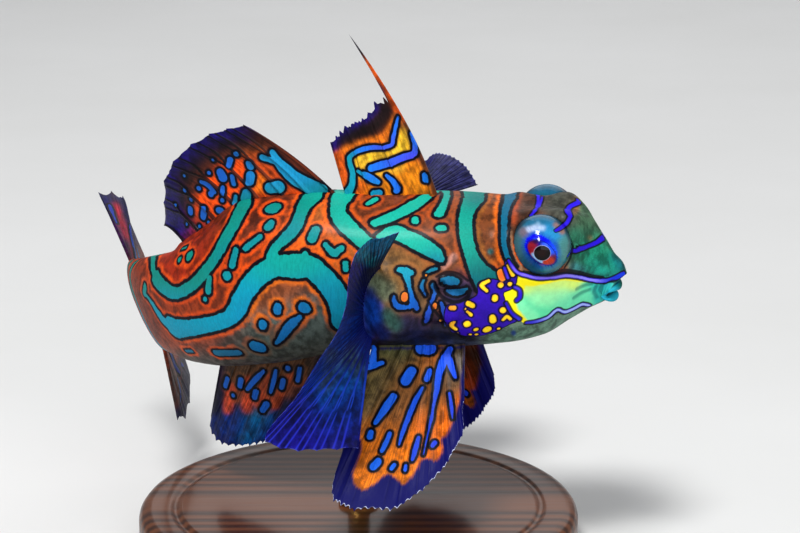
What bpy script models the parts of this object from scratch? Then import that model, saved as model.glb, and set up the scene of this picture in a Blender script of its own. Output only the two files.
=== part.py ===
"""A life-size mandarinfish (Synchiropus splendidus, adult male) hovering on a plain display stand.

The body is one loft along a bent spine, parted by thin cuts into head, trunk and tail. Each fin is a
thin membrane whose rays are raised in its own surface. Shapes are worked out in millimetres and
stored in metres. +X is towards the head, +Z is up, and the fish's right side faces -Y.
"""

import math

import bmesh
import bpy
import numpy as np
from mathutils import Vector
from mathutils.bvhtree import BVHTree

MM = 0.001
GAP = 0.3  # clearance between pieces that touch

# The body
BODY_LENGTH = 58.0  # snout tip to the root of the tail fin
ANCHOR_SHARE = 0.45  # the place along the body that stands over the rod
ANCHOR = (0.0, 0.0, 28.4)
HEAD_END = 0.335  # shares of the body length where the head and the trunk end
TRUNK_END = 0.745
HEAD_STOPS = ((0.0, 0), (0.05, 5), (0.25, 9), (HEAD_END, 7))
TRUNK_STOPS = ((HEAD_END, 0), (0.46, 11), (TRUNK_END, 11))
TAIL_STOPS = ((TRUNK_END, 0), (0.90, 5), (1.0, 4))

# Share of the body length, turn away from the viewer's side, droop and lean to the right, in degrees
SPINE = (
    (0.00, 8.0, -16.0, 7),
    (0.07, 8.0, -6.0, 7),
    (0.16, 7.0, 4.4, 7),
    (0.30, 5.0, 3.8, 7),
    (0.45, 6.0, 4.3, 7),
    (0.60, 15.5, 11.4, 8),
    (0.75, 37.5, 14.1, 12),
    (0.88, 64.0, 16.3, 17),
    (1.00, 82.5, 18.3, 19),
)
# Share of the body length, half width, height above the spine and depth below it
SECTIONS = (
    (0.000, 1.30, 0.80, 1.05),
    (0.018, 1.80, 1.85, 2.30),
    (0.045, 2.60, 3.90, 3.40),
    (0.078, 3.75, 6.10, 4.65),
    (0.138, 5.40, 6.40, 6.30),
    (0.200, 6.60, 7.40, 6.80),
    (0.300, 7.30, 8.00, 6.90),
    (0.400, 7.30, 8.20, 6.85),
    (0.500, 6.90, 8.80, 7.20),
    (0.600, 6.00, 8.90, 7.80),
    (0.700, 4.60, 6.40, 7.85),
    (0.800, 3.20, 4.50, 7.25),
    (0.900, 2.00, 4.35, 6.20),
    (0.965, 1.30, 4.50, 5.70),
    (1.000, 0.70, 4.45, 5.50),
)
SQUARENESS = 0.88  # 1 is an ellipse, less is boxier
MOUTH_WRAP = ((0.0, 1.5), (0.03, 1.4), (0.07, 0.8), (0.12, 0.0), (1.0, 0.0))

# The eyes
EYE_RADIUS = 2.9
EYE_SHARE = 0.128
EYE_SIDE = 4.2  # from the middle of the head
EYE_HEIGHT = 4.2  # above the spine
EYE_GAZE = (0.08, 0.10, 1.0)  # ahead, up, out
EYE_RIM = 0.80  # how far the skin swells round the eye
BROW_PLACE = (0.092, 6.0, 2.9)  # share, height and side of the brow in front of each eye
BROW_REACH = 3.2
BROW_HEIGHT = 0.95


def through(stations, at):
    """Values at each place on smooth curves through the stations, which never overshoot them."""
    table = np.array(stations, float)
    knots, values = table[:, 0], table[:, 1:]
    steps = np.diff(knots)[:, None]
    slopes = np.diff(values, axis=0) / steps
    rates = np.zeros_like(values)
    before, after = slopes[:-1], slopes[1:]
    same_way = before * after > 0
    weigh_before = 2 * steps[1:] + steps[:-1]
    weigh_after = steps[1:] + 2 * steps[:-1]
    safe_before = np.where(same_way, before, 1.0)
    safe_after = np.where(same_way, after, 1.0)
    mean = (weigh_before + weigh_after) / (weigh_before / safe_before + weigh_after / safe_after)
    rates[1:-1] = np.where(same_way, mean, 0.0)
    rates[0], rates[-1] = slopes[0], slopes[-1]
    at = np.asarray(at, float)
    cell = np.clip(np.searchsorted(knots, at, side="right") - 1, 0, len(knots) - 2)
    width = steps[cell, 0]
    share = ((at - knots[cell]) / width)[..., None]
    width = width[..., None]
    return (
        (1 + 2 * share) * (1 - share) ** 2 * values[cell]
        + share * (1 - share) ** 2 * width * rates[cell]
        + share**2 * (3 - 2 * share) * values[cell + 1]
        + share**2 * (share - 1) * width * rates[cell + 1]
    )


def unit(vectors):
    """Each vector at length 1."""
    return vectors / np.linalg.norm(vectors, axis=-1, keepdims=True)


def spine_frames(samples=401):
    """The spine's points and its tailward, up and right directions, at even shares of the length."""
    shares = np.linspace(0, 1, samples)
    turn, droop, lean = np.radians(through(SPINE, shares)).T
    tailward = np.stack(
        [-np.cos(turn) * np.cos(droop), np.sin(turn) * np.cos(droop), -np.sin(droop)], axis=1
    )
    level_right = unit(np.cross(-tailward, (0.0, 0.0, 1.0)))
    level_up = np.cross(level_right, -tailward)
    up = level_up * np.cos(lean)[:, None] + level_right * np.sin(lean)[:, None]
    right = level_right * np.cos(lean)[:, None] - level_up * np.sin(lean)[:, None]
    mid_steps = (tailward[1:] + tailward[:-1]) / 2 * BODY_LENGTH / (samples - 1)
    points = np.vstack([np.zeros(3), np.cumsum(mid_steps, axis=0)])
    points += np.array(ANCHOR) - points[round(ANCHOR_SHARE * (samples - 1))]
    return shares, np.hstack([points, tailward, up, right])


SHARES, FRAMES = spine_frames()


def spine_at(share):
    """The spine's point and its tailward, up and right directions at shares of its length."""
    share = np.asarray(share, float)
    found = np.stack([np.interp(share, SHARES, FRAMES[:, k]) for k in range(12)], axis=-1)
    point, tailward, up, right = (found[..., k : k + 3] for k in (0, 3, 6, 9))
    beyond = (share - np.clip(share, 0, 1))[..., None] * BODY_LENGTH
    return point + tailward * beyond, unit(tailward), unit(up), unit(right)


def place(share, height, side, ahead=0.0):
    """A point by its height above the spine, its distance to the right of it and ahead of it."""
    point, tailward, up, right = spine_at(share)
    return point + up * height + right * side - tailward * ahead


def hump(distance, reach):
    """1 at no distance, falling smoothly to 0 at the reach."""
    share = np.clip(np.abs(distance) / reach, 0, 1)
    return (1 - share**2) ** 2


# Fleshy lobe that carries the pectoral fin: centre and reach by share and angle, and its height
LOBE_SHARE = (0.388, 0.085)
LOBE_ANGLE = (math.radians(96), math.radians(40))
LOBE_HEIGHT = 1.7
LOBE_LIFT = 0.54  # how far the fin's root stands off the lobe
# Fold over the gills: centre, half length and half height in mm, groove width and depth
FOLD_CENTRE = (0.297, math.radians(97))
FOLD_HALVES = (2.4, 1.7)
FOLD_GROOVE = (0.6, 0.28)


def relief(share, angle, points):
    """How far the skin stands out from the plain loft."""
    side_angle = np.abs((angle + math.pi) % (2 * math.pi) - math.pi)
    total = np.zeros(points.shape[:-1])
    for side in (1, -1):
        away = np.linalg.norm(points - place(EYE_SHARE, EYE_HEIGHT, EYE_SIDE * side), axis=-1)
        total += EYE_RIM * np.exp(-(((away - EYE_RADIUS) / 1.25) ** 2))
        brow = place(BROW_PLACE[0], BROW_PLACE[1], BROW_PLACE[2] * side)
        total += BROW_HEIGHT * hump(np.linalg.norm(points - brow, axis=-1), BROW_REACH)
    along = (share - LOBE_SHARE[0]) / LOBE_SHARE[1]
    about = (side_angle - LOBE_ANGLE[0]) / LOBE_ANGLE[1]
    # The lobe rises slowly from the front and drops steeply at its rear brow
    along = np.where(along > 0, along * 1.9, along)
    total += LOBE_HEIGHT * hump(np.hypot(along, about), 1.0)
    fold_along = (share - FOLD_CENTRE[0]) * BODY_LENGTH / FOLD_HALVES[0]
    fold_about = (side_angle - FOLD_CENTRE[1]) * 7.4 / FOLD_HALVES[1]
    ring = (np.hypot(fold_along, fold_about) - 1) * FOLD_HALVES[1] / FOLD_GROOVE[0]
    total -= FOLD_GROOVE[1] * np.exp(-(ring**2))
    return total


def skin(share, angle, grow=0.0):
    """Points on the skin. The angle runs from the back, over the right side, to the belly."""
    share, angle = np.broadcast_arrays(np.asarray(share, float), np.asarray(angle, float))
    half_width, top, bottom = np.moveaxis(through(SECTIONS, share), -1, 0)
    side, rise = np.sin(angle), np.cos(angle)
    lateral = half_width * np.sign(side) * np.abs(side) ** SQUARENESS
    height = np.where(rise > 0, top, bottom) * np.sign(rise) * np.abs(rise) ** SQUARENESS
    point, tailward, up, right = spine_at(share)
    wrap = through(MOUTH_WRAP, share)[..., 0] * side**2
    outward = right * lateral[..., None] + up * height[..., None]
    plain = point + outward + tailward * wrap[..., None]
    out_by = relief(share, angle, plain) + grow
    return plain + unit(outward) * out_by[..., None]


def skin_normal(share, angle):
    """The direction straight out of the skin."""
    step = 1e-3
    along = skin(share + step, angle) - skin(share - step, angle)
    about = skin(share, angle + step) - skin(share, angle - step)
    return unit(np.cross(along, about))


def on_skin(shares, angles, side=1, lift=GAP):
    """Points a little off the skin, the directions out of it and the frames there."""
    shares = np.asarray(shares, float)
    angles = np.asarray(angles, float) * side
    outward = skin_normal(shares, angles)
    _, tailward, up, right = spine_at(shares)
    return skin(shares, angles) + outward * lift, outward, (tailward, up, right * side)


def on_lobe(shares, angles, side=1):
    """As on_skin, a little further off for the lobe's tight curve."""
    return on_skin(shares, angles, side, LOBE_LIFT)


# The mouth: each lip's middle ahead of and above the snout tip, its half length and half width, and
# the tube's radius across and up. The slit gives its middle, its height and its radius.
UPPER_LIP = ((-1.60, -0.12), (1.25, 1.40), (0.38, 0.55))
LOWER_LIP = ((-1.95, -1.42), (1.15, 1.15), (0.44, 0.46))
MOUTH_SLIT = ((-1.9, -0.84), 0.20, 1.75)
NOSTRIL_PLACE = (0.075, math.radians(58))
NOSTRIL_RADII = (0.34, 0.16)
NOSTRIL_RISE = 0.35
PORE_PLACE = (0.296, math.radians(79))
PORE_RADIUS = 0.42

# The stand
BASE_RADIUS = 22.0
BASE_HEIGHT = 5.0
BASE_EDGE = 1.0
ROD_RADIUS = 1.1
SOCKET_DEPTH = 3.0

# Fins. Each row of a table is one place along the fin's root: its share of the way from the front
# ray to the last, the root's share of the body length and angle in degrees, the tip's distance
# back, up and out from the root, and the same for how far the middle of the ray bows.
FIRST_DORSAL = (
    (0.00, 0.305, 0, 7.2, 16.4, 0.0, -0.9, -0.3, 0),
    (0.10, 0.315, 0, 3.8, 10.1, 0.0, -0.3, -0.1, 0),
    (0.25, 0.336, 0, 3.5, 9.7, 0.0, 0, 0, 0),
    (0.40, 0.359, 0, 2.9, 8.5, 0.0, 0, 0, 0),
    (0.72, 0.414, 0, 2.0, 7.1, 0.0, 0, 0, 0),
    (1.00, 0.458, 0, 0.9, 5.2, 0.0, 0, 0, 0),
)
SECOND_DORSAL = (
    (0.00, 0.474, 0, 8.1, 7.4, 0.0, -0.3, 0.3, 0),
    (0.14, 0.512, 0, 7.0, 7.2, 0.0, -0.3, 0.5, 0),
    (0.29, 0.550, 0, 6.0, 7.0, 0.0, -0.3, 0.6, 0),
    (0.43, 0.588, 0, 5.3, 6.3, 0.0, -0.3, 0.7, 0),
    (0.57, 0.626, 0, 5.2, 5.1, -0.3, -0.2, 0.7, 0),
    (0.71, 0.664, 0, 4.8, 4.3, -0.8, -0.2, 0.6, 0),
    (0.86, 0.702, 0, 4.4, 2.7, -1.8, -0.1, 0.5, 0),
    (1.00, 0.740, 0, 3.8, 1.1, -2.2, 0, 0.4, 0),
)
ANAL = (
    (0.00, 0.500, 180, 6.3, -8.6, 0.0, 0, 0, 0),
    (0.14, 0.537, 180, 6.4, -9.0, 0.0, 0, 0, 0),
    (0.29, 0.574, 180, 6.6, -9.0, 0.0, 0, 0, 0),
    (0.43, 0.611, 180, 6.5, -9.0, 0.0, 0, 0, 0),
    (0.57, 0.648, 180, 6.5, -8.9, 0.0, 0, 0, 0),
    (0.71, 0.685, 180, 6.6, -8.6, 0.0, 0, 0, 0),
    (0.86, 0.722, 180, 6.2, -7.4, 0.0, 0, 0, 0),
    (1.00, 0.760, 180, 4.2, -5.9, 0.0, 0, 0, 0),
)
PECTORAL = (
    (0.00, 0.395, 66, -3.1, 6.3, 8.0, 0, 0, 0),
    (0.10, 0.405, 70, -2.4, 6.8, 8.9, 0, 0, 0),
    (0.20, 0.413, 74, -1.7, 7.6, 9.8, 0, 0, 0),
    (0.30, 0.420, 79, -1.1, 7.6, 10.4, 0, 0, 0),
    (0.40, 0.426, 85, -0.7, 6.8, 11.3, 0, 0, 0),
    (0.50, 0.430, 91, -0.5, 5.7, 11.7, 0, 0, 0),
    (0.58, 0.432, 96, 0.4, 3.8, 12.1, 0, 0, 0),
    (0.66, 0.433, 101, 2.6, 1.2, 11.8, 0, 0, 0),
    (0.74, 0.433, 106, 5.2, -2.0, 11.7, 0, 0, 0),
    (0.82, 0.432, 111, 8.6, -5.6, 11.4, 0, 0, 0),
    (0.88, 0.430, 115, 6.6, -6.8, 10.6, 0, 0, 0),
    (0.94, 0.427, 119, 4.1, -7.4, 8.9, 0, 0, 0),
    (1.00, 0.423, 123, 1.1, -7.7, 7.5, 0, 0, 0),
)
PELVIC = (
    (0.00, 0.270, 142, 0.2, -4.1, 3.8, 0, 0, 0),
    (0.14, 0.292, 142, -0.9, -6.7, 5.8, 0, 0, 0),
    (0.28, 0.310, 142, -0.6, -8.5, 7.6, 0, 0, 0),
    (0.42, 0.325, 141, 1.0, -10.5, 9.7, 0, 0, 0),
    (0.56, 0.338, 140, 3.4, -12.1, 10.6, 0, 0, 0),
    (0.70, 0.355, 139, 5.8, -11.9, 10.8, 0, 0, 0),
    (0.82, 0.375, 138, 6.6, -11.2, 10.1, 0, 0, 0),
    (1.00, 0.425, 136, 2.9, -8.0, 6.8, 0, 0, 0),
)
PECTORAL_LEFT = (
    (0.00, 0.395, 66, -7.9, -1.3, 10.1, 0, 0, 0),
    (0.15, 0.405, 72, -7.3, 1.2, 11.1, 0, 0, 0),
    (0.30, 0.418, 79, -6.1, 3.1, 12.8, 0, 0, 0),
    (0.50, 0.430, 91, -4.3, 4.2, 15.2, 0, 0, 0),
    (0.70, 0.433, 103, -0.1, 2.7, 15.2, 0, 0, 0),
    (0.85, 0.431, 113, 4.3, -0.4, 12.3, 0, 0, 0),
    (1.00, 0.423, 123, 4.6, -4.0, 7.6, 0, 0, 0),
)
PELVIC_LEFT = (
    (0.00, 0.270, 142, -1.8, -8.0, 1.3, 0, 0, 0),
    (0.14, 0.292, 142, -2.9, -10.5, 1.5, 0, 0, 0),
    (0.28, 0.310, 142, -2.8, -12.4, 1.9, 0, 0, 0),
    (0.42, 0.325, 141, -1.9, -14.4, 2.1, 0, 0, 0),
    (0.56, 0.338, 140, -0.2, -15.5, 1.4, 0, 0, 0),
    (0.70, 0.355, 139, 2.0, -15.9, 1.0, 0, 0, 0),
    (0.82, 0.375, 138, 3.3, -15.1, 0.6, 0, 0, 0),
    (1.00, 0.425, 136, 1.8, -10.9, 0.9, 0, 0, 0),
)
# The tail fin's rows give the root's height as a share of the body's end, in place of an angle
CAUDAL = (
    (0.00, 1.0, 0.95, 11.0, 9.1, 0.2, 0, 0, 0),
    (0.12, 1.0, 0.72, 12.3, 9.8, -1.3, 0, 0, 0),
    (0.25, 1.0, 0.48, 13.2, 9.8, -2.3, 0, 0, 0),
    (0.36, 1.0, 0.25, 13.8, 8.1, -2.0, 0, 0, 0),
    (0.50, 1.0, 0, 14.3, -0.2, -2.3, 0, 0, 0),
    (0.64, 1.0, -0.25, 13.9, -6.6, -2.2, 0, 0, 0),
    (0.75, 1.0, -0.48, 13.6, -8.8, -1.2, 0, 0, 0),
    (0.88, 1.0, -0.72, 12.7, -9.3, 0.1, 0, 0, 0),
    (1.00, 1.0, -0.95, 11.4, -7.9, 1.1, 0, 0, 0),
)
MEMBRANE = 0.25  # half thicknesses
RAY_AT_ROOT = 0.42
RAY_AT_TIP = 0.30
EDGE = 0.16


def fin_columns(ray_shares, forked):
    """Each column's share of the way across, its kind and its ray's number."""
    columns = []
    for number, share in enumerate(ray_shares):
        if number:
            reach = (share - ray_shares[number - 1]) * 0.25
            columns.append((share - reach, "side"))
        columns.append((share, "middle"))
        if number + 1 < len(ray_shares):
            reach = (ray_shares[number + 1] - share) * 0.25
            columns.append((share + reach, "side"))
            if forked:
                columns.append((share + 2 * reach, "valley"))
    return columns


def fin_grid(table, columns, rows, side=1, forked=True, notch=0.035, root_on=None):
    """The fin's two faces as grids of points, one row of the grid for each column of the fin."""
    across = np.array([share for share, _ in columns])
    kinds = np.array([kind for _, kind in columns])
    values = through(table, across)
    root, outward, frame = (root_on or on_skin)(values[:, 0], values[:, 1], side)
    tip = sum(frame[k] * values[:, 2 + k, None] for k in range(3))
    bow = sum(frame[k] * values[:, 5 + k, None] for k in range(3))
    short = np.where(kinds == "valley", notch, np.where(kinds == "side", 0, notch * 0.35))
    if not forked:
        short = np.where(kinds == "side", notch, 0)
    along = np.linspace(0, 1, rows)[None, :] * (1 - short)[:, None]
    way = along[..., None]
    middle = root[:, None] + tip[:, None] * way + bow[:, None] * (4 * way * (1 - way))
    step_across = np.gradient(middle, axis=0)
    step_along = np.gradient(middle, axis=1)
    normal = unit(np.cross(step_across, step_along))
    fork = np.clip((along - 0.3) / 0.35, 0, 1)
    ray = RAY_AT_ROOT + (RAY_AT_TIP - RAY_AT_ROOT) * along
    heights = {
        "middle": ray + (MEMBRANE - ray) * fork * (0.8 if forked else 0),
        "side": MEMBRANE + (ray - MEMBRANE) * (fork if forked else 0 * fork),
        "valley": MEMBRANE + 0 * fork,
    }
    half = sum(heights[kind] * (kinds == kind)[:, None] for kind in heights)
    half[:, -1] = EDGE
    offset = normal * half[..., None]
    # At the root both faces end on one face that lies along the skin
    flat = normal[:, 0] - outward * np.sum(normal[:, 0] * outward, axis=-1, keepdims=True)
    share_kept = np.sum(unit(flat) * normal[:, 0], axis=-1, keepdims=True)
    offset[:, 0] = unit(flat) * half[:, :1] / np.clip(share_kept, 0.6, 1)
    return middle + offset, middle - offset


def sheet(name, first, second, material):
    """A closed solid between two grids of points, split into triangles alike on both."""
    count, rows = first.shape[:2]
    points = np.concatenate([first.reshape(-1, 3), second.reshape(-1, 3)])
    other = count * rows
    faces = []

    def quad(a, b, c, d):
        faces.append((a, b, c))
        faces.append((a, c, d))

    for i in range(count - 1):
        for j in range(rows - 1):
            a, b = i * rows + j, (i + 1) * rows + j
            if i % 2:
                quad(a, b, b + 1, a + 1)
                faces.append((a + other, b + 1 + other, b + other))
                faces.append((a + other, a + 1 + other, b + 1 + other))
            else:
                quad(b, b + 1, a + 1, a)
                faces.append((b + other, a + 1 + other, b + 1 + other))
                faces.append((b + other, a + other, a + 1 + other))
    rim = [i * rows for i in range(count)]
    rim += [(count - 1) * rows + j for j in range(1, rows)]
    rim += [i * rows + rows - 1 for i in range(count - 2, -1, -1)]
    rim += [j for j in range(rows - 2, 0, -1)]
    for a, b in zip(rim, rim[1:] + rim[:1]):
        quad(a, a + other, b + other, b)
    return solid(name, points, faces, material)


def solid(name, points, faces, material):
    """A named object from points in millimetres, with its faces turned outwards."""
    points = np.asarray(points)
    corners = [points[list(face)] for face in faces]
    volume = sum(
        float(np.dot(c[0], np.cross(c[k], c[k + 1]))) for c in corners for k in range(1, len(c) - 1)
    )
    if volume < 0:
        faces = [tuple(face)[::-1] for face in faces]
    mesh = bpy.data.meshes.new(name)
    mesh.from_pydata((points * MM).tolist(), [], [list(map(int, face)) for face in faces])
    mesh.validate()
    mesh.materials.append(material)
    mesh.shade_smooth()
    made = bpy.data.objects.new(name, mesh)
    bpy.context.scene.collection.children["mandarinfish"].objects.link(made)
    return made


def tube(name, rings, material):
    """A closed solid through rings of points, with a flat face at each end."""
    rings = np.asarray(rings)
    count, around = rings.shape[:2]
    faces = []
    for i in range(count - 1):
        for j in range(around):
            k = (j + 1) % around
            faces.append((i * around + k, i * around + j, (i + 1) * around + j, (i + 1) * around + k))
    faces.append(tuple(range(around)))
    faces.append(tuple((count - 1) * around + j for j in range(around))[::-1])
    return solid(name, rings.reshape(-1, 3), faces, material)


def body_rings(stops, around, cut_start, cut_end):
    """Rings of the loft, evenly between the stops. A cut end is flat and half the clearance back."""
    shares = [stops[0][0]]
    for (start, _), (end, count) in zip(stops, stops[1:]):
        shares += list(np.linspace(start, end, count + 1)[1:])
    angles = np.linspace(0, 2 * math.pi, around, endpoint=False)
    rings = skin(np.array(shares)[:, None], angles[None, :])
    if cut_start:
        rings[0] = skin(shares[0], angles) + spine_at(shares[0])[1] * GAP / 2
    if cut_end:
        rings[-1] = skin(shares[-1], angles) - spine_at(shares[-1])[1] * GAP / 2
    return rings


def coloured(name, colour, roughness):
    """A plain material of one colour."""
    made = bpy.data.materials.new(name)
    made.use_nodes = True
    shader = made.node_tree.nodes["Principled BSDF"]
    shader.inputs["Base Color"].default_value = (*colour, 1)
    shader.inputs["Roughness"].default_value = roughness
    made.diffuse_color = (*colour, 1)
    return made


def sphere(name, centre, axis, radius, material, bulge=0.0, around=24, rows=12):
    """A ball whose poles lie on the axis, with a low bulge round one of them."""
    axis = np.asarray(axis) / np.linalg.norm(axis)
    first = unit(np.cross(axis, (0.0, 0.0, 1.0)))
    second = np.cross(axis, first)
    angles = np.linspace(0, 2 * math.pi, around, endpoint=False)
    points = [centre + axis * (radius + bulge)]
    for tilt in np.linspace(0, math.pi, rows + 1)[1:-1]:
        reach = radius + bulge * math.exp(-((tilt / 0.42) ** 4))
        for angle in angles:
            across = first * math.cos(angle) + second * math.sin(angle)
            points.append(centre + axis * (reach * math.cos(tilt)) + across * (reach * math.sin(tilt)))
    points.append(centre - axis * radius)
    faces = []
    last = len(points) - 1
    for j in range(around):
        k = (j + 1) % around
        faces.append((0, 1 + j, 1 + k))
        for i in range(rows - 2):
            a, b = 1 + i * around, 1 + (i + 1) * around
            faces.append((a + j, b + j, b + k, a + k))
        base = 1 + (rows - 2) * around
        faces.append((base + j, last, base + k))
    return solid(name, np.array(points), faces, material)


def caudal_root(shares, heights, side=1):
    """Points the clearance behind the body's end, by height."""
    point, tailward, up, right = spine_at(shares)
    _, top, bottom = np.moveaxis(through(SECTIONS, shares), -1, 0)
    reach = np.where(heights > 0, top, bottom)
    root = point + up * (heights * reach)[:, None] + tailward * GAP
    return root, tailward, (tailward, up, right)


def mouth_point(ahead, up, side):
    """A point by its distances from the tip of the snout, in the directions of the head."""
    tip = spine_at(0.0)[0]
    _, tailward, rise, right = spine_at(0.16)
    return tip - tailward * ahead + rise * up + right * side


def lip(name, centre, halves, droop, radii, material):
    """A lip: a tapering tube bent round the front of the mouth."""
    rings = []
    for turn in np.radians(np.linspace(-96, 96, 17)):
        ahead = centre[0] + halves[0] * math.cos(turn)
        side = halves[1] * math.sin(turn)
        level = centre[1] - droop * (1 - math.cos(turn))
        outward = np.array([math.cos(turn) * halves[1], math.sin(turn) * halves[0]])
        outward /= np.linalg.norm(outward)
        slim = 1 - 0.45 * (abs(turn) / math.radians(96)) ** 2
        ring = []
        for angle in np.linspace(0, 2 * math.pi, 12, endpoint=False):
            out_by = radii[0] * slim * math.cos(angle)
            up_by = radii[1] * slim * math.sin(angle)
            ring.append(
                mouth_point(ahead + outward[0] * out_by, level + up_by, side + outward[1] * out_by)
            )
        rings.append(ring)
    return tube(name, rings, material)


def rod_between(name, start, end, radius, material, sides=12):
    """A plain cylinder from one point to another."""
    axis = (end - start) / np.linalg.norm(end - start)
    first = unit(np.cross(axis, (0.3, 0.2, 1.0)))
    second = np.cross(axis, first)
    angles = np.linspace(0, 2 * math.pi, sides, endpoint=False)[:, None]
    circle = (first * np.cos(angles) + second * np.sin(angles)) * radius
    return tube(name, [start + circle, end + circle], material)


def largest_surface(mesh):
    """Leaves only the mesh's largest closed surface."""
    work = bmesh.new()
    work.from_mesh(mesh)
    seen = set()
    groups = []
    for face in work.faces:
        if face in seen:
            continue
        group, queue = [], [face]
        seen.add(face)
        while queue:
            found = queue.pop()
            group.append(found)
            for edge in found.edges:
                for other in edge.link_faces:
                    if other not in seen:
                        seen.add(other)
                        queue.append(other)
        groups.append(group)
    groups.sort(key=len)
    for group in groups[:-1]:
        bmesh.ops.delete(work, geom=group, context="FACES")
    work.to_mesh(mesh)
    work.free()


def combine(target, operation, pieces):
    """Joins the pieces to the target, or cuts them from it, and removes them."""
    group = bpy.data.collections.new("cutters")
    group.hide_render = True
    bpy.context.scene.collection.children.link(group)
    for piece in pieces:
        bpy.context.scene.collection.children["mandarinfish"].objects.unlink(piece)
        group.objects.link(piece)
        piece.hide_render = True
        piece.display_type = "WIRE"
    modifier = target.modifiers.new(operation.lower(), "BOOLEAN")
    modifier.operation = operation
    modifier.operand_type = "COLLECTION"
    modifier.collection = group
    modifier.solver = "EXACT"
    bpy.context.view_layer.update()
    graph = bpy.context.evaluated_depsgraph_get()
    made = bpy.data.meshes.new_from_object(target.evaluated_get(graph))
    target.modifiers.clear()
    target.data = made
    for piece in pieces:
        bpy.data.objects.remove(piece)
    bpy.data.collections.remove(group)
    largest_surface(made)
    made.shade_smooth()
    made.set_sharp_from_angle(angle=math.radians(50))


def finish_head(head, material):
    """Adds the lips and nostrils and cuts the mouth, nostrils, gill pores and eye sockets."""
    added = [
        lip("upper_lip", UPPER_LIP[0], UPPER_LIP[1], 0.35, UPPER_LIP[2], material),
        lip("lower_lip", LOWER_LIP[0], LOWER_LIP[1], -0.25, LOWER_LIP[2], material),
    ]
    cut = []
    for side in (1, -1):
        share, angle = NOSTRIL_PLACE
        foot = skin(share, angle * side)
        out = skin_normal(share, angle * side)
        rim, hole = NOSTRIL_RADII
        added.append(rod_between("rim", foot - out * 0.5, foot + out * NOSTRIL_RISE, rim, material))
        cut.append(rod_between("hole", foot - out * 0.4, foot + out * 1.5, hole, material))
        share, angle = PORE_PLACE
        foot = skin(share, angle * side)
        out = skin_normal(share, angle * side)
        cut.append(rod_between("pore", foot - out * 0.5, foot + out * 1.0, PORE_RADIUS, material))
        centre = place(EYE_SHARE, EYE_HEIGHT, EYE_SIDE * side)
        up, right = spine_at(EYE_SHARE)[2:]
        outward = right * side + up * 0.6
        cut.append(sphere("socket", centre, outward, EYE_RADIUS + GAP + 0.05, material))
    slit = []
    for level in (-MOUTH_SLIT[1] / 2, MOUTH_SLIT[1] / 2):
        ring = []
        for turn in np.linspace(0, 2 * math.pi, 24, endpoint=False):
            ahead = MOUTH_SLIT[0][0] + MOUTH_SLIT[2] * math.cos(turn)
            ring.append(
                mouth_point(ahead, MOUTH_SLIT[0][1] + level, MOUTH_SLIT[2] * math.sin(turn))
            )
        slit.append(ring)
    cut.append(tube("slit", slit, material))
    combine(head, "UNION", added)
    combine(head, "DIFFERENCE", cut)


def build_stand(trunk_points, trunk_faces, paint):
    """A round base and one rod that ends under the belly."""
    angles = np.linspace(0, 2 * math.pi, 56, endpoint=False)
    circle = np.stack([np.cos(angles), np.sin(angles), 0 * angles], axis=1)
    up = np.array([0.0, 0.0, 1.0])
    socket = ROD_RADIUS + GAP
    profile = (
        (socket, BASE_HEIGHT - SOCKET_DEPTH),
        (socket, BASE_HEIGHT),
        (BASE_RADIUS - BASE_EDGE, BASE_HEIGHT),
        (BASE_RADIUS - BASE_EDGE * 0.3, BASE_HEIGHT - BASE_EDGE * 0.3),
        (BASE_RADIUS, BASE_HEIGHT - BASE_EDGE),
        (BASE_RADIUS, BASE_EDGE * 0.5),
        (BASE_RADIUS - BASE_EDGE * 0.5, 0.0),
    )
    base = tube("stand_base", [circle * r + up * z for r, z in profile], paint["stand_base"])
    base.data.set_sharp_from_angle(angle=math.radians(40))
    belly = BVHTree.FromPolygons([Vector(p) for p in trunk_points], trunk_faces)
    ring = circle[::4] * ROD_RADIUS
    middle = np.zeros((1, 3))
    foot = ring + up * (BASE_HEIGHT - SOCKET_DEPTH + GAP)
    tops = []
    for x, y, _ in np.vstack([ring, middle]):
        hit = belly.ray_cast(Vector((x, y, 0.0)), Vector((0.0, 0.0, 1.0)))[0]
        tops.append((x, y, hit.z - GAP * 1.15))
    count = len(ring)
    points = np.vstack([foot, np.array(tops)])
    faces = [tuple(range(count))]
    for j in range(count):
        k = (j + 1) % count
        faces.append((j, count + j, count + k, k))
        faces.append((count + j, 2 * count, count + k))
    rod = solid("stand_rod", points, faces, paint["stand_rod"])
    rod.data.set_sharp_from_angle(angle=math.radians(40))


def in_radians(table):
    """A fin's table with its root angles in radians."""
    return tuple((row[0], row[1], math.radians(row[2]), *row[3:]) for row in table)


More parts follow.
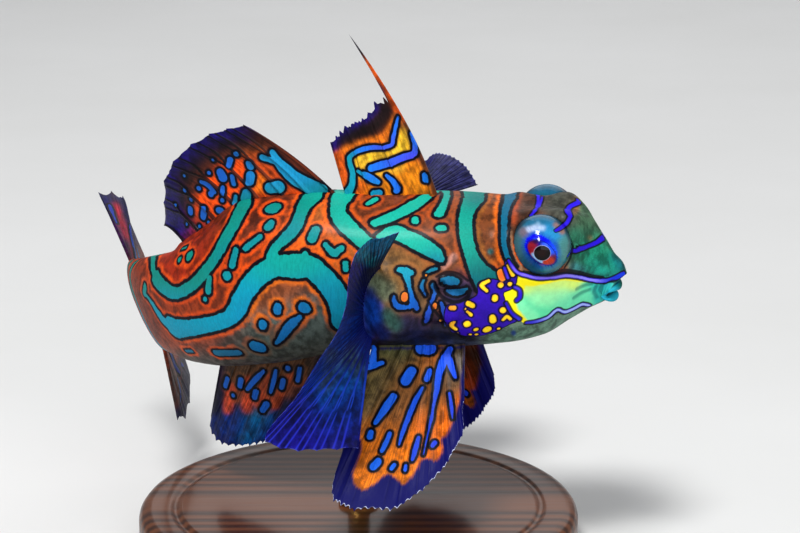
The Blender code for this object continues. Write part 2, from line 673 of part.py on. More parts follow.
def build_fins(paint):
    """All the fins."""
    spines = (0.0, 0.40, 0.72, 1.0)
    rays = {count: tuple(np.linspace(0, 1, count)) for count in (8, 10, 22)}
    for name, table, ray_shares, rows, forked in (
        ("dorsal_fin_first", FIRST_DORSAL, spines, 9, True),
        ("dorsal_fin_second", SECOND_DORSAL, rays[8], 7, True),
        ("anal_fin", ANAL, rays[8], 7, True),
    ):
        first, second = fin_grid(in_radians(table), fin_columns(ray_shares, forked), rows, 1, forked)
        sheet(name, first, second, paint[name])
    for side, word in ((1, "right"), (-1, "left")):
        pectoral, pelvic = (PECTORAL, PELVIC) if side == 1 else (PECTORAL_LEFT, PELVIC_LEFT)
        columns = fin_columns(rays[22], False)
        first, second = fin_grid(in_radians(pectoral), columns, 6, side, False, root_on=on_lobe)
        sheet("pectoral_fin_" + word, first, second, paint["pectoral_fin"])
        pelvic_rays = (0.0, 0.14, 0.28, 0.42, 0.56, 0.70, 0.82, 1.0)
        first, second = fin_grid(in_radians(pelvic), fin_columns(pelvic_rays, True), 8, side, True)
        sheet("pelvic_fin_" + word, first, second, paint["pelvic_fin"])
    first, second = fin_grid(CAUDAL, fin_columns(rays[10], True), 7, 1, True, root_on=caudal_root)
    sheet("caudal_fin", first, second, paint["caudal_fin"])


def main():
    for old in list(bpy.data.objects):
        bpy.data.objects.remove(old)
    parts = bpy.data.collections.new("mandarinfish")
    bpy.context.scene.collection.children.link(parts)
    orange, teal, navy = (0.75, 0.18, 0.03), (0.02, 0.35, 0.33), (0.02, 0.03, 0.35)
    paint = {
        "head": coloured("head_skin", teal, 0.45),
        "trunk": coloured("trunk_skin", orange, 0.45),
        "tail": coloured("tail_skin", orange, 0.45),
        "dorsal_fin_first": coloured("first_dorsal_membrane", orange, 0.5),
        "dorsal_fin_second": coloured("second_dorsal_membrane", navy, 0.5),
        "anal_fin": coloured("anal_membrane", navy, 0.5),
        "pectoral_fin": coloured("pectoral_membrane", navy, 0.5),
        "pelvic_fin": coloured("pelvic_membrane", orange, 0.5),
        "caudal_fin": coloured("caudal_membrane", navy, 0.5),
        "eye": coloured("eye_surface", (0.03, 0.15, 0.4), 0.15),
        "stand_base": coloured("dark_wood", (0.10, 0.05, 0.025), 0.5),
        "stand_rod": coloured("brass", (0.75, 0.55, 0.25), 0.3),
    }
    # Each piece's rings: a share, and how many steps lead up to it from the share before
    for name, stops, around, cut_start, cut_end in (
        ("head", HEAD_STOPS, 40, False, True),
        ("trunk", TRUNK_STOPS, 40, True, True),
        ("tail", TAIL_STOPS, 28, True, False),
    ):
        rings = body_rings(stops, around, cut_start, cut_end)
        made = tube("body_" + name, rings, paint[name])
        if name == "head":
            finish_head(made, paint[name])
        if name == "trunk":
            trunk_points = [vertex.co / MM for vertex in made.data.vertices]
            trunk_faces = [tuple(face.vertices) for face in made.data.polygons]
            build_stand(trunk_points, trunk_faces, paint)
    for side, word in ((1, "right"), (-1, "left")):
        _, tailward, up, right = spine_at(EYE_SHARE)
        gaze = -tailward * EYE_GAZE[0] + up * EYE_GAZE[1] + right * side * EYE_GAZE[2]
        centre = place(EYE_SHARE, EYE_HEIGHT, EYE_SIDE * side)
        sphere("eye_" + word, centre, gaze, EYE_RADIUS, paint["eye"], bulge=0.2)
    build_fins(paint)


main()
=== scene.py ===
"""The dressed model of a swimming mandarinfish (Synchiropus splendidus) on its display stand.

Shapes are worked out in millimetres and stored in metres. +X is towards the head, +Z is up and the
fish's right side faces -Y. Marks are drawn as lines in the photograph's frame, laid on the surface
along the camera's rays, and kept as distances from their edges, which the shaders read.
"""

import math

import bpy
import numpy as np
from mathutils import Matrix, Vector
from mathutils.bvhtree import BVHTree


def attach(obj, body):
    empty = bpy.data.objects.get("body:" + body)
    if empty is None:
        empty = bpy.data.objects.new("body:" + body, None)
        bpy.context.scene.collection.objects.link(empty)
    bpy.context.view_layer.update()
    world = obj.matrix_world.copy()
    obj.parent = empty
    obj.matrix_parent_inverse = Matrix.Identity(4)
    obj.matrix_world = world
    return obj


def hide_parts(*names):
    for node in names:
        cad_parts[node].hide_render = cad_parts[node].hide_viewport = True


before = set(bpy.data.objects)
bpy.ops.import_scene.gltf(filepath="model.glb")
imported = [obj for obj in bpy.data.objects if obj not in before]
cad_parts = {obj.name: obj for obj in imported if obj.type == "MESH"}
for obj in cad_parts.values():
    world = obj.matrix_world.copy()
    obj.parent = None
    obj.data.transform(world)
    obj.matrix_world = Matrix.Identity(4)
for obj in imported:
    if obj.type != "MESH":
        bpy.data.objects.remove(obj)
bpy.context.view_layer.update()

MM = 0.001
GAP = 0.3  # between the skin and the root of a fin's free part
TURN = 2 * math.pi
UP = np.array([0.0, 0.0, 1.0])

# The camera, in millimetres, for a picture of 800 by 533
PICTURE = (800, 533)
LENS = 114.8
SENSOR = 36.0
AIM = np.array([4.15, 0.0, 29.47])
DISTANCE = 250.0
ELEVATION = math.radians(15)
LOOK = np.array([0.0, math.cos(ELEVATION), -math.sin(ELEVATION)])
ACROSS = np.array([1.0, 0.0, 0.0])
UPWARD = np.cross(ACROSS, LOOK)
VIEWPOINT = AIM - LOOK * DISTANCE
FOCAL = LENS / SENSOR * PICTURE[0]
PIXEL = DISTANCE / FOCAL  # millimetres to a pixel at the fish
PLAIN_WEIGHT = 0.35  # of the plain colour against the zones of colour on it

# The body: the same tables as the solids
BODY_LENGTH = 58.0
ANCHOR_SHARE = 0.45
ANCHOR = (0.0, 0.0, 28.4)
SPINE = (  # share of the length, then turn, droop and lean in degrees
    (0.00, 8.0, -16.0, 7),
    (0.07, 8.0, -6.0, 7),
    (0.16, 7.0, 4.4, 7),
    (0.30, 5.0, 3.8, 7),
    (0.45, 6.0, 4.3, 7),
    (0.60, 15.5, 11.4, 8),
    (0.75, 37.5, 14.1, 12),
    (0.88, 64.0, 16.3, 17),
    (1.00, 82.5, 18.3, 19),
)
SECTIONS = (  # share, half width, and reach above and below the spine
    (0.000, 1.30, 0.80, 1.05),
    (0.018, 1.80, 1.85, 2.30),
    (0.045, 2.60, 3.90, 3.40),
    (0.078, 3.75, 6.10, 4.65),
    (0.138, 5.40, 6.40, 6.30),
    (0.200, 6.60, 7.40, 6.80),
    (0.300, 7.30, 8.00, 6.90),
    (0.400, 7.30, 8.20, 6.85),
    (0.500, 6.90, 8.80, 7.20),
    (0.600, 6.00, 8.90, 7.80),
    (0.700, 4.60, 6.40, 7.85),
    (0.800, 3.20, 4.50, 7.25),
    (0.900, 2.00, 4.35, 6.20),
    (0.965, 1.30, 4.50, 5.70),
    (1.000, 0.70, 4.45, 5.50),
)
SQUARENESS = 0.88  # 1 would make the sections oval
# Share, and how far the sides of the section lie behind its middle
MOUTH_WRAP = ((0.0, 1.5), (0.03, 1.4), (0.07, 0.8), (0.12, 0.0), (1.0, 0.0))
EYE_RADIUS = 2.9
EYE_SHARE = 0.1313
EYE_SIDE = 4.2
EYE_HEIGHT = 4.2
EYE_GAZE = (0.08, 0.10, 1.0)  # ahead, up and to the side
EYE_RIM = (0.80, 1.25)  # the height and width of the ridge round the eye
BROW_PLACE = (0.092, 6.0, 2.9)  # share, height and distance to the side
BROW_REACH = 3.2
BROW_HEIGHT = 0.95
# The lobe at the root of the pectoral fin: its middle and its half size, along and round the body
LOBE_SHARE = (0.388, 0.085)
LOBE_ANGLE = (math.radians(96), math.radians(40))
LOBE_HEIGHT = 1.7
LOBE_REAR = 1.9  # how much sooner the lobe ends towards the tail
FOLD_CENTRE = (0.297, math.radians(97))  # of the gill fold: share and angle
FOLD_HALVES = (2.4, 1.7)
FOLD_GROOVE = (0.42, 0.34)  # width and depth
GIRTH = 7.4  # the body's radius at the gill fold
# Each lip: its place ahead of and above the tip of the snout, the size of its curve ahead and to
# the side, and its thickness forward and across
UPPER_LIP = ((-1.70, -0.34), (1.25, 1.36), (0.33, 0.45))
LOWER_LIP = ((-2.10, -1.46), (1.15, 1.12), (0.43, 0.49))
NOSTRIL_PLACE = (0.075, math.radians(58))
PORE_PLACE = (0.296, math.radians(79))
SNOUT_TIP = (0.28, 0.02)  # how far the upper tip is drawn forward, and over what share
SNOUT_CREST = (0.2, 0.014, 0.013)  # the ridge above the lip: its height, share and reach
BLUNT_END = (0.16, 0.012)  # how far the first rows are drawn in, and over what share
FIN_SWELLINGS = ((0.30, 0.46, 0), (0.47, 0.745, 0), (0.50, 0.765, math.pi))  # shares and sides
SWELLING = (0.28, 0.75)  # the height and half width of the skin's rise at the fins' roots
SWELLING_GIRTH = 8.0
THROAT = (-2.6, -0.82, 0.0)  # ahead of, above and beside the tip of the snout
# Rows inside the mouth: their size against the lips' inner edge, and how far behind it they lie
MOUTH_HOLLOW = ((0.05, 1.6), (0.35, 1.5), (0.6, 1.2), (0.8, 0.8), (0.93, 0.35))
LIP_SHARE = -0.03  # the lips' rows have shares from here to 0
MOUTH_SHARES = (-0.027, -0.019)  # where the mouth's dark inside gives way to the lips
LIP_TURNS = (-100, 118, 17)  # from inside to outside in degrees, and how many rows
TAIL_END = ((0.86, 0.12), (0.62, 0.24), (0.3, 0.33), (0.06, 0.38))  # widths and distances back
ROUND = 400  # points round the body
HEAD_ROWS = 190
BODY_ROWS = 240
HEAD_SHARE = 0.335
HEAD_CROWDING = 1.15  # above 1 the rows lie closer together towards the snout
FIRST_ROW = (0.002, 0.018)  # the first row's share at the back, and how much more at the chin
FIRST_ROW_TURNS = (math.radians(70), math.radians(150))
NOSTRIL = (NOSTRIL_PLACE, 0.2, 0.3)  # place, radius and the height of the rim
PORE = (PORE_PLACE, 0.46, 0.16)
PIT_DEPTH = 0.32
SOCKET_GAP = 0.12  # behind the eyeball
SOCKET_EDGE = 0.06  # how far inside the ball's outline the skin starts to sink
# Marks that are carried on to the back: how many points they have at least, how near the back they
# end, and behind which share
LONG_MARK = 12
NEAR_BACK = math.radians(38)
BEHIND_EYES = 0.16
SPOT_INSET = 0.04  # the spots are drawn a little smaller than their lines
OUTLINE_EXTRA = 0.09  # the bands' outlines are broader than the spots'
GROOVES = (("crease", 0.10, 0.13), ("fold", 0.09, 0.16))  # each field's depth and width
CHEEK_TURNS = (0.9, 2.75)  # the patch and the cheek lie between these angles
CHEEK_END = 0.36

# Fins, as in the solids: share across, root share, root angle, tip back, up and out, and for some
# the bow likewise
FIRST_DORSAL = (
    (0.00, 0.305, 0, 7.2, 16.4, 0.0, -0.9, -0.3, 0),
    (0.10, 0.315, 0, 3.8, 10.1, 0.0, -0.3, -0.1, 0),
    (0.25, 0.336, 0, 3.5, 9.7, 0.0, 0, 0, 0),
    (0.40, 0.359, 0, 2.9, 8.5, 0.0, 0, 0, 0),
    (0.72, 0.414, 0, 2.0, 7.1, 0.0, 0, 0, 0),
    (1.00, 0.458, 0, 0.9, 5.2, 0.0, 0, 0, 0),
)
SECOND_DORSAL = (
    (0.00, 0.474, 0, 8.1, 7.4, 0.0, -0.3, 0.3, 0),
    (0.14, 0.512, 0, 7.0, 7.2, 0.0, -0.3, 0.5, 0),
    (0.29, 0.550, 0, 6.0, 7.0, 0.0, -0.3, 0.6, 0),
    (0.43, 0.588, 0, 5.3, 6.3, 0.0, -0.3, 0.7, 0),
    (0.57, 0.626, 0, 5.2, 5.1, -0.3, -0.2, 0.7, 0),
    (0.71, 0.664, 0, 4.8, 4.3, -0.8, -0.2, 0.6, 0),
    (0.86, 0.702, 0, 4.4, 2.7, -1.8, -0.1, 0.5, 0),
    (1.00, 0.740, 0, 3.8, 1.1, -2.2, 0, 0.4, 0),
)
ANAL = (
    (0.00, 0.500, 180, 6.3, -8.6, 0.0),
    (0.14, 0.537, 180, 6.4, -9.0, 0.0),
    (0.29, 0.574, 180, 6.6, -9.0, 0.0),
    (0.43, 0.611, 180, 6.5, -9.0, 0.0),
    (0.57, 0.648, 180, 6.5, -8.9, 0.0),
    (0.71, 0.685, 180, 6.6, -8.6, 0.0),
    (0.86, 0.722, 180, 6.2, -7.4, 0.0),
    (1.00, 0.760, 180, 4.2, -5.9, 0.0),
)
PECTORAL = (
    (0.00, 0.395, 66, -3.1, 6.3, 8.0),
    (0.10, 0.405, 70, -2.4, 6.8, 8.9),
    (0.20, 0.413, 74, -1.7, 7.6, 9.8),
    (0.30, 0.420, 79, -1.1, 7.6, 10.4),
    (0.40, 0.426, 85, -0.7, 6.8, 11.3),
    (0.50, 0.430, 91, -0.5, 5.7, 11.7),
    (0.58, 0.432, 96, 0.4, 3.8, 12.1),
    (0.66, 0.433, 101, 2.6, 1.2, 11.8),
    (0.74, 0.433, 106, 5.2, -2.0, 11.7),
    (0.82, 0.432, 111, 8.6, -5.6, 11.4),
    (0.88, 0.430, 115, 6.6, -6.8, 10.6),
    (0.94, 0.427, 119, 4.1, -7.4, 8.9),
    (1.00, 0.423, 123, 1.1, -7.7, 7.5),
)
PELVIC = (
    (0.00, 0.270, 142, 0.2, -4.1, 3.8),
    (0.14, 0.292, 142, -0.9, -6.7, 5.8),
    (0.28, 0.310, 142, -0.6, -8.5, 7.6),
    (0.42, 0.325, 141, 1.0, -10.5, 9.7),
    (0.56, 0.338, 140, 3.4, -12.1, 10.6),
    (0.70, 0.355, 139, 5.8, -11.9, 10.8),
    (0.82, 0.375, 138, 6.6, -11.2, 10.1),
    (1.00, 0.425, 136, 2.9, -8.0, 6.8),
)
PECTORAL_LEFT = (
    (0.00, 0.395, 66, -7.9, -1.3, 10.1),
    (0.15, 0.405, 72, -7.3, 1.2, 11.1),
    (0.30, 0.418, 79, -6.1, 3.1, 12.8),
    (0.50, 0.430, 91, -4.3, 4.2, 15.2),
    (0.70, 0.433, 103, -0.1, 2.7, 15.2),
    (0.85, 0.431, 113, 4.3, -0.4, 12.3),
    (1.00, 0.423, 123, 4.6, -4.0, 7.6),
)
PELVIC_LEFT = (
    (0.00, 0.270, 142, -1.8, -8.0, 1.3),
    (0.14, 0.292, 142, -2.9, -10.5, 1.5),
    (0.28, 0.310, 142, -2.8, -12.4, 1.9),
    (0.42, 0.325, 141, -1.9, -14.4, 2.1),
    (0.56, 0.338, 140, -0.2, -15.5, 1.4),
    (0.70, 0.355, 139, 2.0, -15.9, 1.0),
    (0.82, 0.375, 138, 3.3, -15.1, 0.6),
    (1.00, 0.425, 136, 1.8, -10.9, 0.9),
)
CAUDAL = (
    (0.00, 1.0, 0.95, 11.0, 9.1, 0.2),
    (0.12, 1.0, 0.72, 12.3, 9.8, -1.3),
    (0.25, 1.0, 0.48, 13.2, 9.8, -2.3),
    (0.36, 1.0, 0.25, 13.8, 8.1, -2.0),
    (0.50, 1.0, 0, 14.3, -0.2, -2.3),
    (0.64, 1.0, -0.25, 13.9, -6.6, -2.2),
    (0.75, 1.0, -0.48, 13.6, -8.8, -1.2),
    (0.88, 1.0, -0.72, 12.7, -9.3, 0.1),
    (1.00, 1.0, -0.95, 11.4, -7.9, 1.1),
)


def through(stations, at):
    """Values at each place on smooth curves through the stations, which never overshoot them."""
    table = np.array(stations, float)
    knots, values = table[:, 0], table[:, 1:]
    steps = np.diff(knots)[:, None]
    slopes = np.diff(values, axis=0) / steps
    rates = np.zeros_like(values)
    before, after = slopes[:-1], slopes[1:]
    same_way = before * after > 0
    weigh_before = 2 * steps[1:] + steps[:-1]
    weigh_after = steps[1:] + 2 * steps[:-1]
    safe_before = np.where(same_way, before, 1.0)
    safe_after = np.where(same_way, after, 1.0)
    mean = (weigh_before + weigh_after) / (weigh_before / safe_before + weigh_after / safe_after)
    rates[1:-1] = np.where(same_way, mean, 0.0)
    rates[0], rates[-1] = slopes[0], slopes[-1]
    at = np.asarray(at, float)
    cell = np.clip(np.searchsorted(knots, at, side="right") - 1, 0, len(knots) - 2)
    width = steps[cell, 0]
    share = ((at - knots[cell]) / width)[..., None]
    width = width[..., None]
    return (
        (1 + 2 * share) * (1 - share) ** 2 * values[cell]
        + share * (1 - share) ** 2 * width * rates[cell]
        + share**2 * (3 - 2 * share) * values[cell + 1]
        + share**2 * (share - 1) * width * rates[cell + 1]
    )


def unit(vectors):
    """Each vector at length 1."""
    return vectors / np.maximum(np.linalg.norm(vectors, axis=-1, keepdims=True), 1e-12)


def from_back(angle):
    """The angle away from the middle of the back, on either side."""
    return np.abs((angle + math.pi) % TURN - math.pi)


def spine_frames(samples=401):
    """The spine's points and its tailward, up and right directions, at even shares of it."""
    shares = np.linspace(0, 1, samples)
    turn, droop, lean = np.radians(through(SPINE, shares)).T
    tailward = np.stack(
        [-np.cos(turn) * np.cos(droop), np.sin(turn) * np.cos(droop), -np.sin(droop)], axis=1
    )
    level_right = unit(np.cross(-tailward, (0.0, 0.0, 1.0)))
    level_up = np.cross(level_right, -tailward)
    up = level_up * np.cos(lean)[:, None] + level_right * np.sin(lean)[:, None]
    right = level_right * np.cos(lean)[:, None] - level_up * np.sin(lean)[:, None]
    mid_steps = (tailward[1:] + tailward[:-1]) / 2 * BODY_LENGTH / (samples - 1)
    points = np.vstack([np.zeros(3), np.cumsum(mid_steps, axis=0)])
    points += np.array(ANCHOR) - points[round(ANCHOR_SHARE * (samples - 1))]
    return shares, np.hstack([points, tailward, up, right])


SHARES, FRAMES = spine_frames()


def spine_at(share):
    """The spine's point and its tailward, up and right directions at shares of its length."""
    share = np.asarray(share, float)
    found = np.stack([np.interp(share, SHARES, FRAMES[:, k]) for k in range(12)], axis=-1)
    point, tailward, up, right = (found[..., k : k + 3] for k in (0, 3, 6, 9))
    beyond = (share - np.clip(share, 0, 1))[..., None] * BODY_LENGTH
    return point + tailward * beyond, unit(tailward), unit(up), unit(right)


def place(share, height, side, ahead=0.0):
    """A point by its height above the spine, its distance to the right of it and ahead of it."""
    point, tailward, up, right = spine_at(share)
    return point + up * height + right * side - tailward * ahead


def hump(distance, reach):
    """1 at no distance, falling smoothly to 0 at the reach."""
    share = np.clip(np.abs(distance) / reach, 0, 1)
    return (1 - share**2) ** 2


def ease(value, low, high):
    """0 below low, 1 above high and a smooth step between."""
    share = np.clip((value - low) / (high - low), 0, 1)
    return share * share * (3 - 2 * share)


def relief(share, angle, points):
    """How far the skin stands out from the plain loft."""
    side_angle = from_back(angle)
    total = np.zeros(points.shape[:-1])
    for side in (1, -1):
        away = np.linalg.norm(points - place(EYE_SHARE, EYE_HEIGHT, EYE_SIDE * side), axis=-1)
        total += EYE_RIM[0] * np.exp(-(((away - EYE_RADIUS) / EYE_RIM[1]) ** 2))
        brow = place(BROW_PLACE[0], BROW_PLACE[1], BROW_PLACE[2] * side)
        total += BROW_HEIGHT * hump(np.linalg.norm(points - brow, axis=-1), BROW_REACH)
    along = (share - LOBE_SHARE[0]) / LOBE_SHARE[1]
    about = (side_angle - LOBE_ANGLE[0]) / LOBE_ANGLE[1]
    along = np.where(along > 0, along * LOBE_REAR, along)
    total += LOBE_HEIGHT * hump(np.hypot(along, about), 1.0)
    fold_along = (share - FOLD_CENTRE[0]) * BODY_LENGTH / FOLD_HALVES[0]
    fold_about = (side_angle - FOLD_CENTRE[1]) * GIRTH / FOLD_HALVES[1]
    ring = (np.hypot(fold_along, fold_about) - 1) * FOLD_HALVES[1] / FOLD_GROOVE[0]
    return total - FOLD_GROOVE[1] * np.exp(-(ring**2))


def skin(share, angle, grow=0.0):
    """Points on the skin. The angle runs from the back, over the right side, to the belly."""
    share, angle = np.broadcast_arrays(np.asarray(share, float), np.asarray(angle, float))
    half_width, top, bottom = np.moveaxis(through(SECTIONS, share), -1, 0)
    side, rise = np.sin(angle), np.cos(angle)
    lateral = half_width * np.sign(side) * np.abs(side) ** SQUARENESS
    height = np.where(rise > 0, top, bottom) * np.sign(rise) * np.abs(rise) ** SQUARENESS
    point, tailward, up, right = spine_at(share)
    wrap = through(MOUTH_WRAP, share)[..., 0] * side**2
    outward = right * lateral[..., None] + up * height[..., None]
    plain = point + outward + tailward * wrap[..., None]
    out_by = relief(share, angle, plain) + grow
    return plain + unit(outward) * out_by[..., None]


def skin_normal(share, angle):
    """The direction straight out of the skin."""
    step = 1e-3
    along = skin(share + step, angle) - skin(share - step, angle)
    about = skin(share, angle + step) - skin(share, angle - step)
    return unit(np.cross(along, about))


def mouth_point(ahead, up, side):
    """Points by their distances from the tip of the snout, in the directions of the head."""
    tip = spine_at(0.0)[0]
    _, tailward, rise, right = spine_at(0.16)
    ahead, up, side = (np.asarray(v)[..., None] for v in (ahead, up, side))
    return tip - tailward * ahead + rise * up + right * side


def to_picture(points):
    """Where the points fall in the picture, in pixels."""
    apart = points - VIEWPOINT
    depth = apart @ LOOK
    x = PICTURE[0] / 2 + FOCAL * (apart @ ACROSS) / depth
    y = PICTURE[1] / 2 - FOCAL * (apart @ UPWARD) / depth
    return np.stack([x, y], axis=-1)


def curve_through(points, pieces=4):
    """A smooth curve through a row of points with any number of values each."""
    points = np.asarray(points, float)
    if len(points) < 3:
        return points
    padded = np.vstack([2 * points[0] - points[1], points, 2 * points[-1] - points[-2]])
    found = []
    for k in range(len(points) - 1):
        a, b, c, d = padded[k : k + 4]
        for t in np.linspace(0, 1, pieces, endpoint=False):
            found.append(
                0.5 * (2 * b + (c - a) * t + (2 * a - 5 * b + 4 * c - d) * t**2)
                + 0.5 * (3 * b - a - 3 * c + d) * t**3
            )
    found.append(points[-1])
    return np.array(found)


def grid_faces(rows, columns, closed=False, start=0):
    """The four-cornered faces of a grid of points."""
    index = np.arange(rows * columns).reshape(rows, columns) + start
    if closed:
        index = np.hstack([index, index[:, :1]])
    corners = [index[:-1, :-1], index[1:, :-1], index[1:, 1:], index[:-1, 1:]]
    return np.stack(corners, axis=-1).reshape(-1, 4)


def tube_faces(rows, count):
    """The faces of a closed grid and of its two ends."""
    ends = np.arange(count)[None, ::-1], np.arange((rows - 1) * count, rows * count)[None]
    return [grid_faces(rows, count, closed=True), *ends]


def facing_out(points, faces):
    """The faces, turned round if they face inwards."""
    quads = np.concatenate([f for f in faces if f.shape[1] == 4])
    a, b, c, d = (points[quads[:, k]] for k in range(4))
    volume = np.sum(np.cross(a, b) * c) + np.sum(np.cross(a, c) * d)
    return [f[:, ::-1] for f in faces] if volume < 0 else faces


class Surface:
    """A grid of points on which marks drawn in the picture are laid."""

    def __init__(self, grid, closed=False):
        self.points = grid.reshape(-1, 3)
        quads = grid_faces(*grid.shape[:2], closed)
        self.tree = BVHTree.FromPolygons(self.points.tolist(), quads.tolist())
        self.seen = to_picture(self.points)

    def under(self, spot):
        """The point that a pixel of the picture shows, or the nearest to it on the outline."""
        direction = (
            LOOK
            + ACROSS * (spot[0] - PICTURE[0] / 2) / FOCAL
            - UPWARD * (spot[1] - PICTURE[1] / 2) / FOCAL
        )
        hit = self.tree.ray_cast(Vector(VIEWPOINT), Vector(direction))[0]
        if hit is not None:
            return np.array(hit), True
        nearest = np.argmin(np.sum((self.seen - np.asarray(spot)[:2]) ** 2, axis=1))
        return self.points[nearest], False

    def lay(self, mark):
        """A mark's line and half widths on the surface. A mark is its half width, or one for each
        point, and then its points."""
        widths, *spots = mark
        spots = np.array(spots, float)
        widths = np.broadcast_to(np.asarray(widths, float), len(spots))
        drawn = curve_through(np.column_stack([spots, widths]))
        line, reach = [], []
        for k, (x, y, width) in enumerate(drawn):
            point, seen = self.under((x, y))
            ahead = drawn[min(k + 1, len(drawn) - 1)][:2] - drawn[max(k - 1, 0)][:2]
            size = np.hypot(*ahead)
            half = width * PIXEL * (1.0 if seen else 1.15)
            if seen and size > 0 and width > 0:
                across = np.array([-ahead[1], ahead[0]]) / size * width
                one, one_seen = self.under((x + across[0], y + across[1]))
                two, two_seen = self.under((x - across[0], y - across[1]))
                span = np.linalg.norm(one - two) / 2
                if one_seen and two_seen and span < half * 2:
                    point, half = (one + two) / 2, span
            line.append(point)
            reach.append(half)
        line, reach = np.array(line), np.array(reach)
        spare = reach[[0, -1]] - drawn[[0, -1], 2] * PIXEL
        if len(line) > 1 and spare.max() > 0:
            run = np.concatenate([[0.0], np.cumsum(np.linalg.norm(np.diff(line, axis=0), axis=1))])
            start, stop = np.clip(spare, 0, 0.42 * run[-1])
            at = np.linspace(start, run[-1] - stop, len(line))
            line = np.column_stack([np.interp(at, run, line[:, k]) for k in range(3)])
            reach = np.interp(at, run, reach)
        return line, reach


def to_segment(points, start, end):
    """How far along a segment each point lies, as a share, and how far away from it."""
    step = end - start
    share = np.clip((points - start) @ step / max(step @ step, 1e-9), 0, 1)
    return share, np.linalg.norm(points - start - share[:, None] * step, axis=1)


def edge_distance(points, laid, reach=2.5):
    """How far each point lies outside the nearest of the laid marks, negative inside one."""
    found = np.full(len(points), reach)
    for line, widths in laid:
        if len(line) == 1:
            line, widths = np.repeat(line, 2, axis=0), np.repeat(widths, 2)
        margin = reach + widths.max()
        near = np.all((points > line.min(0) - margin) & (points < line.max(0) + margin), axis=1)
        near = np.flatnonzero(near)
        best = np.full(len(near), reach)
        for start, end, width, next_width in zip(line, line[1:], widths, widths[1:]):
            share, away = to_segment(points[near], start, end)
            np.minimum(best, away - width - (next_width - width) * share, out=best)
        found[near] = np.minimum(found[near], best)
    return found


def inside(spots, outline):
    """Whether each pixel place lies inside the outline."""
    found = np.zeros(len(spots), bool)
    outline = np.asarray(outline, float)
    x, y = spots[:, 0], spots[:, 1]
    for (x0, y0), (x1, y1) in zip(outline, np.roll(outline, -1, axis=0)):
        crosses = (y0 > y) != (y1 > y)
        if y0 != y1:
            found ^= crosses & (x < (x1 - x0) * (y - y0) / (y1 - y0) + x0)
    return found


def linear(colour):
    """A colour of 0 to 255 as linear light."""
    value = np.asarray(colour, float) / 255
    return np.where(value > 0.04045, ((value + 0.055) / 1.055) ** 2.4, value / 12.92)


def tinted(spots, plain, zones):
    """A colour for each pixel place: a plain one, and zones that fade with distance from a line."""
    total = np.tile(linear(plain) * PLAIN_WEIGHT, (len(spots), 1))
    weight = np.full(len(spots), PLAIN_WEIGHT)
    for colour, strength, reach, *path in zones:
        path = np.array(path * 2 if len(path) == 1 else path, float)
        away = [to_segment(spots, start, end)[1] for start, end in zip(path, path[1:])]
        pull = strength * np.exp(-((np.min(away, axis=0) / reach) ** 2))
        total += pull[:, None] * linear(colour)
        weight += pull
    return total / weight[:, None]


def shown(colour):
    """A colour of 0 to 255 as a shader takes it."""
    return tuple(float(value) for value in linear(colour))


# Marks on the body, each a half width in pixels, or one for each point, and then its line
BANDS = (
    ((3.0, 3.2, 4.2, 5.0, 5.5, 5.5, 5.0, 4.6, 4.6, 5.0, 5.2, 5.2, 5.0, 4.8), (154, 253),
     (153, 267), (157, 280), (167, 290), (176, 293), (187, 289), (198, 280), (207, 269),
     (213, 261), (220, 249), (226, 238), (233, 226), (239, 214), (246, 200)),
    ((2.0, 3.2, 5.0, 6.0, 6.8, 7.0, 7.2, 7.2, 8.0, 9.0, 9.0, 9.5, 10, 10), (146, 295), (152, 303),
     (158, 313), (165, 322), (174, 327.5), (187, 328), (202, 326), (218, 322.5), (229, 318),
     (237, 309), (242, 298), (252, 283), (264, 272), (276, 266)),
    ((9, 4.5, 4.5, 5.5, 5.8, 5.5, 5.5, 6.5, 7.5), (275, 262), (272, 254), (277, 246), (288, 236),
     (295.5, 227), (299.5, 217.5), (304, 207), (312, 197), (321, 189)),
    ((10, 12, 11, 10.5, 11, 11.5, 11), (276, 266), (296, 266), (310, 267), (321, 276), (333, 290),
     (341, 305), (343, 322)), ((3, 5), (305, 254), (305, 262)),
    ((8, 8, 8, 7.5, 8, 8, 8, 7.5, 7), (356, 184), (350, 191), (342, 197), (338.5, 205),
     (338.5, 214), (344, 222.5), (352, 231), (361, 239), (370, 246)),
    ((2.6, 3.4, 4.6, 4.6, 4.5, 4.0), (441, 189), (427, 196.5), (414, 205), (401, 212.5),
     (390, 217.5), (375, 223)),
    ((3.5, 7.0, 7.0, 7.5, 7.5, 6.5, 3.5), (380, 237), (393, 232.5), (405, 236.5), (416, 242),
     (427, 248), (435, 253), (441, 259)), ((2.6, 3.2, 4.4), (447, 196), (444, 204), (439, 214)),
    ((6, 6.5, 6.8, 6.6, 6.6, 6.6, 7.4, 10, 13), (481, 190), (472, 202), (466.5, 214), (465.5, 228),
     (467.5, 242), (470.5, 254), (475, 264), (481, 274), (487, 281)),
    ((4.2, 3.8, 3.5, 2.9, 2.6, 2.6, 2.4, 1.6), (512, 193), (508.3, 201), (505.4, 210),
     (504.2, 225), (503.8, 240), (505.4, 250), (508.6, 259), (513.5, 267)),
)
